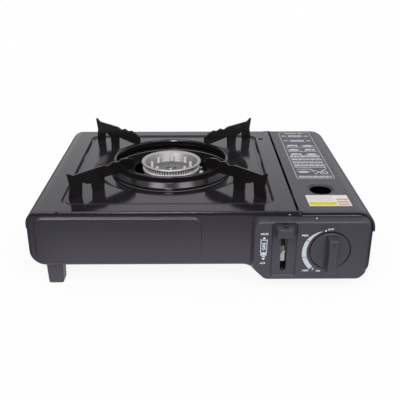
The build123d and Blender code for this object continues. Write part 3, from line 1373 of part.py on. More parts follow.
def arm_outline(angle):
    """Outline of one pan support arm in its upright plane, radius across and Z up."""
    with BuildSketch(radial_plane(BURNER_X, BURNER_Y, angle).offset(-ARM_SHEET / 2)) as outline:
        with BuildLine():
            Polyline(
                (arm_s(1), TRAY_Z),
                (arm_s(1) - 2.4, TRAY_Z + 14.5),
                (arm_s(1) + 0.4, RING_TOP_Z + 17.6),
                (arm_s(1) - 1.6, RING_TOP_Z + 16.6),
                (arm_s(1) - 6.5, RING_TOP_Z + 13.8),
                (arm_s(0.42), RING_TOP_Z + 14.4),
                (arm_s(0.325), RING_TOP_Z + 12.2),
                (arm_s(0.24), RING_TOP_Z + 15.0),
                (arm_s(0.145), RING_TOP_Z + 13.2),
                (arm_s(0.08), RING_TOP_Z + 15.3),
                (RING_R - 2.5, RING_TOP_Z + 13.8),
                (RING_R - 10.5, RING_TOP_Z + 10.8),
                (RING_R - 10.5, RING_TOP_Z + 3.8),
                (RING_R - 6.0, RING_TOP_Z),
                (arm_s(0.065), RING_TOP_Z),
                (arm_s(0.405), RING_TOP_Z + 1.5),
                (arm_s(0.418), TRAY_Z),
                (arm_s(0.61), TRAY_Z),
                (arm_s(0.623), TRAY_Z + 10.0),
                (arm_s(0.71), TRAY_Z + 11.5),
                (arm_s(0.775), TRAY_Z + 14.2),
                (arm_s(0.795), TRAY_Z),
                close=True,
            )
        make_face()
        fillet(outline.vertices(), 0.7)
    return outline.sketch


ARMS = {"support_arm_rr": 45, "support_arm_rl": 135, "support_arm_fl": 225, "support_arm_fr": 315}
for name, angle in ARMS.items():
    with BuildPart() as support_arm:
        extrude(arm_outline(angle), amount=ARM_SHEET)
    support_arm.part.label = name
    export_step(support_arm.part, f"parts/{name}.step")


def foot_outline(x, y, z):
    """Rounded foot section at height z."""
    with BuildSketch(Plane.XY.offset(z)) as outline:
        with Locations((x, y)):
            RectangleRounded(FOOT_WIDTH, FOOT_DEPTH, 3.0)
    return outline.sketch


# Feet: tapered blocks under the floor, long ones left and short ones under the bay
FOOT_HEAD_R = 3.4
FOOT_HEAD_DEPTH = 4.0
for name, (x, y, height) in FEET.items():
    with BuildPart() as foot:
        extrude(foot_outline(x, y, height), amount=-height, taper=2)
        fillet(foot.faces().sort_by(Axis.Z)[0].edges(), 1.8)
        with Locations((x, y, height / 2)):
            Cylinder(SCREW_R, 2 * height, mode=Mode.SUBTRACT)
        with Locations((x, y, 0)):
            Cylinder(FOOT_HEAD_R + 0.3, 2 * FOOT_HEAD_DEPTH, mode=Mode.SUBTRACT)
    foot.part.label = name
    export_step(foot.part, f"parts/{name}.step")

# Foot screws: head in the foot, thread end just above the floor
with BuildPart() as foot_screws:
    for x, y, height in FEET.values():
        with BuildSketch(Plane.XY.offset(FOOT_HEAD_DEPTH)):
            with Locations((x, y)):
                Circle(SCREW_R)
        extrude(amount=height + SHEET + 1.0 - FOOT_HEAD_DEPTH)
    with BuildSketch(Plane.XY.offset(FOOT_HEAD_DEPTH)):
        with Locations(*FOOT_PLACES):
            Circle(FOOT_HEAD_R)
    extrude(amount=-2.0)
foot_screws.part.label = "foot_screws"
export_step(foot_screws.part, "parts/foot_screws.step")

# Plate screw: holds the drip tray to the partition flange
with BuildPart() as plate_screw:
    with BuildSketch(Plane.XY.offset(TOP_Z)):
        with Locations((PLATE_SCREW_X, PLATE_SCREW_Y)):
            Circle(2.6)
    extrude(amount=1.3)
    fillet(plate_screw.edges().group_by(Axis.Z)[-1], 0.8)
    with BuildSketch(Plane.XY.offset(TOP_Z + 0.6)):
        with Locations((PLATE_SCREW_X, PLATE_SCREW_Y)):
            Rectangle(2.8, 0.6)
            Rectangle(0.6, 2.8)
    extrude(amount=1.0, mode=Mode.SUBTRACT)
    with BuildSketch(Plane.XY.offset(TOP_Z)):
        with Locations((PLATE_SCREW_X, PLATE_SCREW_Y)):
            Circle(SCREW_R)
    extrude(amount=-5.0)
plate_screw.part.label = "plate_screw"
export_step(plate_screw.part, "parts/plate_screw.step")

# Control screws: from inside the front panel into the posts of the control panel
with BuildPart() as control_screws:
    with BuildSketch(front_plane(INSIDE_Y)):
        with Locations(*PANEL_POSTS):
            Circle(SCREW_R)
    extrude(amount=PANEL_PROUD - PANEL_WALL)
    with BuildSketch(front_plane(INSIDE_Y)):
        with Locations(*PANEL_POSTS):
            Circle(2.8)
    extrude(amount=-1.8)
control_screws.part.label = "control_screws"
export_step(control_screws.part, "parts/control_screws.step")

# Regulator screws: from the front panel face into the neck of the regulator
with BuildPart() as regulator_screws:
    with BuildSketch(front_plane(FACE_Y)):
        with Locations(*REGULATOR_BOLTS):
            Circle(SCREW_R)
    extrude(amount=-6.0)
    with BuildSketch(front_plane(FACE_Y)):
        with Locations(*REGULATOR_BOLTS):
            Circle(2.8)
    extrude(amount=1.8)
regulator_screws.part.label = "regulator_screws"
export_step(regulator_screws.part, "parts/regulator_screws.step")

# Bracket screws: hold the burner bracket to the floor
with BuildPart() as bracket_screws:
    with BuildSketch(Plane.XY.offset(FLOOR_Z + BRACKET_SHEET)):
        with Locations(*BRACKET_HOLES):
            Circle(SCREW_R)
    extrude(amount=-5.0)
    with BuildSketch(Plane.XY.offset(FLOOR_Z + BRACKET_SHEET)):
        with Locations(*BRACKET_HOLES):
            Circle(2.8)
    extrude(amount=1.8)
bracket_screws.part.label = "bracket_screws"
export_step(bracket_screws.part, "parts/bracket_screws.step")
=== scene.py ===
"""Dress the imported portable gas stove: finishes, printed marks, weld beads and a plain studio.

Lengths are metres in the frame of the model: X to the right, Y to the rear, Z up.
Printed marks are drawn in millimetres on their own face and turned into metres there.
"""
import logging
from dataclasses import dataclass, field
from enum import Enum
from math import cos, radians, sin
from random import Random
from typing import Any, Mapping, Sequence, Union

import bmesh
import bpy
from mathutils import Matrix, Vector


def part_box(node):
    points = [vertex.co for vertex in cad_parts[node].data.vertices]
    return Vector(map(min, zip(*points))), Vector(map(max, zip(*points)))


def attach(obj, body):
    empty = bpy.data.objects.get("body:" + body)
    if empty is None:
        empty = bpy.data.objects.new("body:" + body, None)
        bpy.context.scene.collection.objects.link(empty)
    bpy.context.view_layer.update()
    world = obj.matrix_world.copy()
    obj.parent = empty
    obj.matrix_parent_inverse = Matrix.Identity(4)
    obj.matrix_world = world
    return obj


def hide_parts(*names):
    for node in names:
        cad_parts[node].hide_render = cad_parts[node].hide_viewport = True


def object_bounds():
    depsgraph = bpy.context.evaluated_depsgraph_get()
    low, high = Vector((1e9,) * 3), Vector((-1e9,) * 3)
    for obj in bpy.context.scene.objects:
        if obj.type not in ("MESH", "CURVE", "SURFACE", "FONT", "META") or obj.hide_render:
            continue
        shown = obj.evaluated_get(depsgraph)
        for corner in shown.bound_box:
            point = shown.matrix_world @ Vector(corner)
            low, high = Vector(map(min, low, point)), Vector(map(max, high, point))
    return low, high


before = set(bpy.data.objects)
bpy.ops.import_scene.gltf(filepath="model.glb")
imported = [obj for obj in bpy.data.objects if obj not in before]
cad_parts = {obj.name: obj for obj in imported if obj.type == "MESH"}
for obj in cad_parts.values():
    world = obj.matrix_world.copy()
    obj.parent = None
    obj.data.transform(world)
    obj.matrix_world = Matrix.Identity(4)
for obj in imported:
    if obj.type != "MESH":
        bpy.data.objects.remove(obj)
CAD_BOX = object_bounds()

LOG = logging.getLogger("stove")
MM = 0.001
PHOTO_PIXELS = 400
SENSOR_WIDTH = 36.0
WHITE = (1.0, 1.0, 1.0)
BLACK = (0.0, 0.0, 0.0)
SOFT = 0.2 * MM
CRISP = 0.1 * MM

Colour = tuple[float, float, float]
Point = tuple[float, float]
Number = Union["Wire", float]


class Wire:
    """Output socket of a shader node that takes part in Python arithmetic."""

    def __init__(self, recipe: "Recipe", socket: bpy.types.NodeSocket) -> None:
        """Keep the socket and the recipe that its node belongs to."""
        self.recipe = recipe
        self.socket = socket

    def _math(self, operation: str, *values: Number) -> "Wire":
        """Add one Math node on the given values."""
        return self.recipe.add("ShaderNodeMath", {"operation": operation}, dict(enumerate(values)))

    def __add__(self, other: Number) -> "Wire":
        """Sum of two values."""
        return self._math("ADD", self, other)

    def __radd__(self, other: Number) -> "Wire":
        """Sum with a plain number first."""
        return self._math("ADD", other, self)

    def __sub__(self, other: Number) -> "Wire":
        """Difference of two values."""
        return self._math("SUBTRACT", self, other)

    def __rsub__(self, other: Number) -> "Wire":
        """Difference with a plain number first."""
        return self._math("SUBTRACT", other, self)

    def __mul__(self, other: Number) -> "Wire":
        """Product of two values."""
        return self._math("MULTIPLY", self, other)

    def __rmul__(self, other: Number) -> "Wire":
        """Product with a plain number first."""
        return self._math("MULTIPLY", other, self)

    def max(self, other: Number) -> "Wire":
        """Larger of two values."""
        return self._math("MAXIMUM", self, other)

    def fade(self, low: float, high: float) -> "Wire":
        """Smooth step from 0 at low to 1 at high."""
        return self.recipe.add(
            "ShaderNodeMapRange",
            {"interpolation_type": "SMOOTHSTEP"},
            {"Value": self, "From Min": low, "From Max": high},
        )


class Recipe:
    """Node tree of one material or of the world."""

    MIX_FACTOR, MIX_A, MIX_B, MIX_RESULT = 0, 6, 7, 2

    def __init__(self, owner: Union[bpy.types.Material, bpy.types.World]) -> None:
        """Empty the owner's node tree.

        Args:
            owner: material or world whose tree is written.
        """
        owner.use_nodes = True
        self.owner = owner
        self.tree = owner.node_tree
        self.tree.nodes.clear()

    def plug(self, socket: bpy.types.NodeSocket, value: Any) -> None:
        """Link a wire to a socket, or set a plain value on it."""
        if isinstance(value, Wire):
            self.tree.links.new(value.socket, socket)
        elif isinstance(value, tuple) and socket.type == "RGBA":
            socket.default_value = (*value[:3], 1.0)
        else:
            socket.default_value = value

    def add(
        self,
        kind: str,
        settings: Mapping[str, Any] | None = None,
        inputs: Mapping[Union[int, str], Any] | None = None,
        output: Union[int, str] = 0,
    ) -> Union[Wire, None]:
        """Add one node.

        Args:
            kind: type name of the node.
            settings: node properties, set before the sockets.
            inputs: values or wires by socket index or name.
            output: socket to hand back.

        Returns:
            The chosen output socket as a wire, or None from a node that ends the tree.
        """
        node = self.tree.nodes.new(kind)
        for key, value in (settings or {}).items():
            setattr(node, key, value)
        for key, value in (inputs or {}).items():
            self.plug(node.inputs[key], value)
        return Wire(self, node.outputs[output]) if node.outputs else None

    def coords(self, stretch: Sequence[float] = (1.0, 1.0, 1.0)) -> Wire:
        """Coordinates of the piece itself, in metres, stretched by an axis factor."""
        place = self.add("ShaderNodeTexCoord", output="Object")
        return self.add(
            "ShaderNodeMapping", {"vector_type": "POINT"}, {"Vector": place, "Scale": tuple(stretch)}
        )

    def noise(
        self, size: float, detail: float = 2.0, stretch: Sequence[float] = (1.0, 1.0, 1.0)
    ) -> Wire:
        """Noise between 0 and 1 whose lumps are about the given size in metres."""
        return self.add(
            "ShaderNodeTexNoise",
            None,
            {"Vector": self.coords(stretch), "Scale": 1.0 / size, "Detail": detail},
        )

    def cells(self, size: float) -> Wire:
        """Random value from 0 to 1 in cells of about the given size in metres."""
        flakes = self.add(
            "ShaderNodeTexVoronoi",
            None,
            {"Vector": self.coords(), "Scale": 1.0 / size},
            output="Color",
        )
        return self.add("ShaderNodeSeparateColor", None, {0: flakes})

    def mix(self, factor: Number, first: Any, second: Any) -> Wire:
        """Blend of two colours."""
        return self.add(
            "ShaderNodeMix",
            {"data_type": "RGBA"},
            {self.MIX_FACTOR: factor, self.MIX_A: first, self.MIX_B: second},
            output=self.MIX_RESULT,
        )

    def round_normal(self, radius: float) -> Wire:
        """Shading normal with edges eased by a small radius in metres."""
        return self.add("ShaderNodeBevel", {"samples": 6}, {"Radius": radius})

    def edges(self, rounded: Wire) -> Wire:
        """Mask that is 1 on sharp edges and 0 on open faces."""
        flat = self.add("ShaderNodeNewGeometry", output="Normal")
        along = self.add(
            "ShaderNodeVectorMath", {"operation": "DOT_PRODUCT"}, {0: rounded, 1: flat}, output="Value"
        )
        return (1.0 - along).fade(0.01, 0.22)

    def hollows(self, reach: float) -> Wire:
        """Mask that is 1 in open places and falls to 0 in narrow hollows."""
        return self.add("ShaderNodeAmbientOcclusion", {"samples": 6}, {"Distance": reach}, output="AO")

    def height(self) -> Wire:
        """Height of a place on the piece, in metres."""
        return self.add("ShaderNodeSeparateXYZ", None, {0: self.coords()}, output="Z")

    def from_axis(self, centre: Point, stretch: Sequence[float] = (1.0, 1.0, 0.0)) -> Wire:
        """Distance of a place on the piece from an upright axis or plane, in metres."""
        return self.add(
            "ShaderNodeVectorMath",
            {"operation": "DISTANCE"},
            {0: self.coords(stretch), 1: (*centre, 0.0)},
            output="Value",
        )

    def bump(self, height: Wire, depth: float, normal: Wire) -> Wire:
        """Normal bent by a height map of the given depth in metres."""
        return self.add(
            "ShaderNodeBump", None, {"Height": height, "Distance": depth, "Strength": 1.0, "Normal": normal}
        )

    def surface(self, sockets: Mapping[str, Any]) -> bpy.types.Material:
        """Finish the tree with one Principled shader.

        Args:
            sockets: values or wires by the shader's socket names.

        Returns:
            The finished material.
        """
        shader = self.add("ShaderNodeBsdfPrincipled", None, sockets)
        self.add("ShaderNodeOutputMaterial", None, {"Surface": shader})
        return self.owner


def new_recipe(name: str) -> Recipe:
    """Start the recipe of a new material with that name."""
    return Recipe(bpy.data.materials.new(name))


def shade(colour: Colour, factor: float, lift: float = 0.0) -> Colour:
    """Colour times a factor, plus a lift."""
    return tuple(factor * c + lift for c in colour)


@dataclass(frozen=True)
class Groove:
    """Left and right walls of a tray's groove, by their middle, half distance, width and heights; the coat
    paints them black as shade.
    """

    middle: float
    half: float
    width: float
    heights: tuple[float, float]

    def walls(self, recipe: Recipe) -> Wire:
        """1 on the two walls, 0 elsewhere."""
        aside, height = recipe.from_axis((self.middle, 0.0), (1.0, 0.0, 0.0)), recipe.height()
        low, high = self.heights
        inner = self.half - self.width
        band = height.fade(low, low + SOFT) * (1.0 - height.fade(high - SOFT, high))
        return band * aside.fade(inner - SOFT, inner) * (1.0 - aside.fade(self.half, self.half + SOFT))


@dataclass(frozen=True)
class Coat:
    """Sprayed or fired coat on sheet metal.

    peel is the height of its orange peel and peel_size the width of a lump.
    """

    CLOUD, HAZE, GRAIN = 38 * MM, 9 * MM, 0.7 * MM
    # WORN lightens edges: partly thinner paint, partly a painted highlight
    DEEP, LIGHT, WORN = 0.86, 1.12, 0.10
    WALL_DULL = 0.8

    name: str
    colour: Colour
    roughness: float
    spread: float
    peel: float
    peel_size: float
    # edge_highlight: strength of the lighter edges, partly thinner paint and partly painted highlight
    edge_highlight: float = 0.25
    edge_radius: float = 0.45 * MM
    clear: float = 0.0
    specular: float = 0.5
    tint: Colour = (0.97, 0.92, 1.0)
    groove: Union[Groove, None] = None

    def material(self) -> bpy.types.Material:
        """Coat with clouded tone, handling haze, orange peel and edges lightened partly by thinner paint and
        partly by a painted highlight.
        """
        recipe = new_recipe(self.name)
        rounded = recipe.round_normal(self.edge_radius)
        edge = recipe.edges(rounded)
        cloud = recipe.noise(self.CLOUD, 3.0)
        grain = recipe.noise(self.GRAIN, 1.0)
        deep, light = shade(self.colour, self.DEEP), shade(self.colour, self.LIGHT)
        tone = recipe.mix(0.7 * cloud + 0.3 * grain, deep, light)
        # Painted highlight: sharp edges are lifted towards a lighter colour, which partly also stands for
        # thinner paint there
        tone = recipe.mix(self.edge_highlight * edge, tone, shade(self.colour, 1.0, self.WORN))
        haze = recipe.noise(self.HAZE, 4.0)
        gloss = self.roughness + self.spread * (haze - 0.5) + 0.4 * self.spread * (cloud - 0.5)
        relief = recipe.noise(self.peel_size, 2.0)
        if self.groove:
            walls = self.groove.walls(recipe)
            # Painted shade: the groove's walls are drawn black, as the shadow of the step
            tone = recipe.mix(walls, tone, BLACK)
            gloss = gloss + self.WALL_DULL * walls
        return recipe.surface(
            {
                "Base Color": tone,
                "Roughness": gloss,
                "Normal": recipe.bump(relief, self.peel, rounded),
                "Specular IOR Level": self.specular,
                "Specular Tint": self.tint,
                "Coat Weight": self.clear,
                "Coat Roughness": 0.05,
            }
        )


@dataclass(frozen=True)
class Moulding:
    """Moulded plastic or rubber with a spark-eroded grain."""

    FLOW, FLOW_STRETCH = 26 * MM, (1.0, 1.0, 0.45)
    # WORN is the lift of the painted highlight on edges
    DEEP, LIGHT, WORN = 0.90, 1.10, 0.08

    name: str
    colour: Colour
    roughness: float
    grain: float
    grain_size: float
    # edge_highlight: strength of the painted highlight on the edges
    edge_highlight: float = 0.22
    edge_radius: float = 0.5 * MM

    def material(self) -> bpy.types.Material:
        """Plastic with fine grain, faint flow marks and a painted highlight on its edges."""
        recipe = new_recipe(self.name)
        rounded = recipe.round_normal(self.edge_radius)
        edge = recipe.edges(rounded)
        flow = recipe.noise(self.FLOW, 3.0, self.FLOW_STRETCH)
        pits = recipe.noise(self.grain_size, 3.0)
        deep, light = shade(self.colour, self.DEEP), shade(self.colour, self.LIGHT)
        tone = recipe.mix(0.5 * flow + 0.5 * pits, deep, light)
        # Painted highlight: sharp edges are lifted towards a lighter colour
        tone = recipe.mix(self.edge_highlight * edge, tone, shade(self.colour, 1.0, self.WORN))
        gloss = self.roughness + 0.12 * (flow - 0.5) + 0.14 * (pits - 0.5) - 0.08 * edge
        return recipe.surface(
            {
                "Base Color": tone,
                "Roughness": gloss,
                "Normal": recipe.bump(pits, self.grain, rounded),
            }
        )


class Working(Enum):
    """How a metal piece was made, as the stretch of its tool marks along X, Y and Z."""

    CAST = (1.0, 1.0, 1.0)
    ROLLED = (0.06, 1.0, 1.0)
    TURNED = (1.0, 0.08, 1.0)


@dataclass(frozen=True)
class Dish:
    """Round burner dish with painted shade on its floor and in its flame ports, and lighter posts and teeth.

    The floor lies inside a radius below two heights, the ports between two radii below a rim.
    """

    centre: Point
    floor_radius: float
    floor_heights: tuple[float, float]
    port_radii: tuple[float, float]
    rim: float
    post_reach: float

    def top(self, recipe: Recipe) -> Wire:
        """1 on the upper face of the rim."""
        return recipe.height().fade(self.rim + 1.4 * MM, self.rim + 2.0 * MM)

    def under_rim(self, recipe: Recipe) -> Wire:
        """1 below the rim."""
        return 1.0 - recipe.height().fade(self.rim - CRISP, self.rim)

    def ports(self, recipe: Recipe) -> Wire:
        """1 inside the flame ports."""
        away = recipe.from_axis(self.centre)
        inner, outer = self.port_radii
        port = away.fade(inner, inner + CRISP) * (1.0 - away.fade(outer - CRISP, outer))
        return port * self.under_rim(recipe)

    def posts_and_teeth(self, recipe: Recipe) -> Wire:
        """1 on the posts and on the teeth between the ports, which are drawn lighter."""
        away, outer = recipe.from_axis(self.centre), self.port_radii[1]
        posts = 1.0 - away.fade(self.post_reach, self.post_reach + 0.3 * MM)
        teeth = away.fade(outer, outer + SOFT) * self.under_rim(recipe)
        return posts.max(teeth) * recipe.height().fade(*self.floor_heights)

    def open_air(self, recipe: Recipe) -> Wire:
        """0 on the floor of the dish, 1 elsewhere."""
        outside = recipe.from_axis(self.centre).fade(0.94 * self.floor_radius, self.floor_radius)
        return recipe.height().fade(*self.floor_heights).max(outside)


@dataclass(frozen=True)
class Metal:
    """Bare or plated metal with its tool marks.

    Its hollows get painted shade, or, where dark_floor is given, the round floor of a dish does.
    """

    CLOUD, SPANGLES, EDGE_RADIUS = 14 * MM, 5 * MM, 0.35 * MM
    DEEP, LIGHT = 0.88, 1.10
    # CONE darkens the dish below its rim top, BLASTED lightens posts and teeth, PORT is the painted shade in
    # the ports
    CONE, BLASTED, PORT = 0.62, 1.5, 0.03

    name: str
    colour: Colour
    roughness: float
    working: Working
    mark_size: float
    mark_depth: float
    spangle: float = 0.0
    # hollow_shade: how far the painted shade in hollows darkens the colour; it also sets how dark the
    # spangles are
    hollow_shade: float = 0.55
    hollow: float = 5 * MM
    dark_floor: Union[Dish, None] = None
    metallic: float = 1.0

    def material(self) -> bpy.types.Material:
        """Metal with marks of its making, painted shade in its hollows and polished edges."""
        recipe = new_recipe(self.name)
        rounded = recipe.round_normal(self.EDGE_RADIUS)
        edge = recipe.edges(rounded)
        marks = recipe.noise(self.mark_size, 4.0, self.working.value)
        cloud = recipe.noise(self.CLOUD, 3.0)
        if self.dark_floor:
            open_air = self.dark_floor.open_air(recipe)
        else:
            # Painted shade: ambient occlusion marks the narrow hollows
            open_air = recipe.hollows(self.hollow).fade(0.25, 0.9)
        shade_and_spangle_tone = shade(self.colour, 1.0 - self.hollow_shade)
        deep, light = shade(self.colour, self.DEEP), shade(self.colour, self.LIGHT)
        tone = recipe.mix(0.5 * marks + 0.5 * cloud, deep, light)
        if self.spangle > 0.0:
            tone = recipe.mix(self.spangle * recipe.cells(self.SPANGLES), tone, shade_and_spangle_tone)
        metallic: Number = self.metallic
        if self.dark_floor:
            posts_and_teeth = self.dark_floor.posts_and_teeth(recipe)
            # The part below the rim's upper face is drawn darker than the face itself
            tone = recipe.mix(self.dark_floor.top(recipe), shade(self.colour, self.CONE), tone)
            # Posts and teeth are drawn lighter and less metallic
            tone = recipe.mix(posts_and_teeth, tone, shade(self.colour, self.BLASTED))
            # Painted shade: the flame ports are drawn near black
            tone = recipe.mix(self.dark_floor.ports(recipe), tone, shade(self.colour, self.PORT))
            metallic = self.metallic * (1.0 - 0.8 * posts_and_teeth)
        # Painted shade: narrow hollows, or the floor of the dish, take the darker tone
        tone = recipe.mix(open_air, shade_and_spangle_tone, tone)
        gloss = self.roughness + 0.18 * (marks - 0.5) + 0.10 * (cloud - 0.5) - 0.10 * edge
        return recipe.surface(
            {
                "Base Color": tone,
                "Metallic": metallic,
                "Roughness": gloss,
                "Normal": recipe.bump(marks, self.mark_depth, rounded),
            }
        )


@dataclass(frozen=True)
class Ink:
    """Screen printed ink, slightly thin in places."""

    name: str
    colour: Colour

    def material(self) -> bpy.types.Material:
        """Flat ink whose cover varies a little."""
        recipe = new_recipe(self.name)
        thin = recipe.noise(1.1 * MM, 3.0)
        tone = recipe.mix(thin.fade(0.25, 0.6), shade(self.colour, 0.80), self.colour)
        relief = recipe.noise(0.4 * MM, 2.0)
        flat = recipe.add("ShaderNodeNewGeometry", output="Normal")
        return recipe.surface(
            {
                "Base Color": tone,
                "Roughness": 0.46 + 0.12 * thin,
                "Normal": recipe.bump(relief, 0.01 * MM, flat),
            }
        )


BURNER_CENTRE = (-32.95 * MM, 14.35 * MM)
CASING_COAT = Coat(
    "satin_black_coat", (0.0180, 0.0155, 0.0230), 0.30, 0.10, 0.010 * MM, 1.3 * MM, 0.35, specular=0.75
)
TRAY_ENAMEL = Coat(
    "tray_enamel",
    (0.011, 0.010, 0.012),
    0.13,
    0.06,
    0.006 * MM,
    5.0 * MM,
    tint=(0.90, 0.78, 1.0),
    groove=Groove(BURNER_CENTRE[0], 107.35 * MM, 2.4 * MM, (83.5 * MM, 85.0 * MM)),
)
SUPPORT_ENAMEL = Coat("support_enamel", (0.007, 0.006, 0.006), 0.18, 0.08, 0.012 * MM, 3.0 * MM, 0.12)
LID_COAT = Coat(
    "lid_coat", (0.030, 0.027, 0.036), 0.36, 0.10, 0.010 * MM, 0.9 * MM, tint=(0.92, 0.82, 1.0)
)
PANEL_PLASTIC = Moulding("panel_plastic", (0.036, 0.0325, 0.045), 0.44, 0.014 * MM, 0.34 * MM)
KNOB_PLASTIC = Moulding("knob_plastic", (0.037, 0.0335, 0.046), 0.46, 0.016 * MM, 0.32 * MM)
FOOT_PLASTIC = Moulding("foot_plastic", (0.040, 0.036, 0.048), 0.46, 0.018 * MM, 0.40 * MM)
WHITE_NYLON = Moulding("white_nylon", (0.96, 0.95, 0.95), 0.40, 0.010 * MM, 0.40 * MM, 0.05)
IGNITER_PLASTIC = Moulding("igniter_plastic", (0.030, 0.030, 0.034), 0.35, 0.008 * MM, 0.30 * MM)
SEAL_RUBBER = Moulding("seal_rubber", (0.020, 0.020, 0.020), 0.65, 0.020 * MM, 0.25 * MM)
LEAD_COVER = Moulding("lead_cover", (0.030, 0.030, 0.032), 0.38, 0.006 * MM, 0.50 * MM)
GLAZED_CERAMIC = Coat(
    "glazed_ceramic", (0.45, 0.43, 0.42), 0.18, 0.06, 0.008 * MM, 1.0 * MM, clear=0.6, tint=WHITE
)
BURNER_CAST = Metal(
    "burner_cast",
    (0.40, 0.386, 0.396),
    0.42,
    Working.CAST,
    0.6 * MM,
    0.030 * MM,
    hollow_shade=0.52,
    dark_floor=Dish(
        centre=BURNER_CENTRE,
        floor_radius=25.5 * MM,
        floor_heights=(79.5 * MM, 82.0 * MM),
        port_radii=(29.0 * MM, 31.2 * MM),
        rim=86.7 * MM,
        post_reach=24.1 * MM,
    ),
    metallic=0.6,
)
CAST_ALUMINIUM = Metal("cast_aluminium", (0.66, 0.65, 0.66), 0.38, Working.CAST, 0.5 * MM, 0.020 * MM)
ZINC_PLATE = Metal("zinc_plate", (0.60, 0.61, 0.62), 0.34, Working.ROLLED, 0.5 * MM, 0.006 * MM, 0.35, 0.45)
BARE_STEEL = Metal("bare_steel", (0.58, 0.57, 0.57), 0.30, Working.CAST, 0.3 * MM, 0.006 * MM)
BRASS = Metal("turned_brass", (0.78, 0.58, 0.27), 0.28, Working.TURNED, 0.25 * MM, 0.006 * MM)
WHITE_INK = Ink("white_ink", (0.52, 0.59, 0.65))
LID_INK = Ink("lid_ink", (0.57, 0.60, 0.65))
PALE_INK = Ink("pale_ink", (0.44, 0.46, 0.51))
COOL_INK = Ink("cool_ink", (0.41, 0.49, 0.53))
BLUE_INK = Ink("blue_ink", (0.44, 0.45, 0.59))
LABEL_WHITE = Ink("label_white", (0.76, 0.73, 0.72))
LABEL_GREY = Ink("label_grey", (0.48, 0.44, 0.46))
LABEL_YELLOW = Ink("label_yellow", (0.60, 0.55, 0.02))
LABEL_TAN = Ink("label_tan", (0.58, 0.34, 0.25))


class Facing(Enum):
    """Way a printed face looks, as its right, its up and its outward direction."""

    FRONT = ((1.0, 0.0, 0.0), (0.0, 0.0, 1.0), (0.0, -1.0, 0.0))
    UP = ((1.0, 0.0, 0.0), (0.0, 1.0, 0.0), (0.0, 0.0, 1.0))

    def matrix(self, origin: Vector) -> Matrix:
        """Placement of a drawing whose zero lies at the given point."""
        placed = Matrix([Vector(axis) for axis in self.value]).transposed().to_4x4()
        placed.translation = origin
        return placed


def arc_points(centre: Point, radius: float, start: float, end: float, steps: int) -> list[Point]:
    """Points along an arc.

    Args:
        centre: middle of the arc.
        radius: its radius.
        start: first angle in degrees, against the clock from the right.
        end: last angle in degrees.
        steps: number of runs.

    Returns:
        steps + 1 points.
    """
    turns = [radians(start + (end - start) * i / steps) for i in range(steps + 1)]
    return [(centre[0] + radius * cos(a), centre[1] + radius * sin(a)) for a in turns]


def rounded_box(low: Point, high: Point, radius: float, steps: int = 5) -> list[Point]:
    """Outline of a box with rounded corners, against the clock."""
    corners = (
        ((high[0] - radius, high[1] - radius), 0),
        ((low[0] + radius, high[1] - radius), 90),
        ((low[0] + radius, low[1] + radius), 180),
        ((high[0] - radius, low[1] + radius), 270),
    )
    return [p for centre, turn in corners for p in arc_points(centre, radius, turn, turn + 90, steps)]


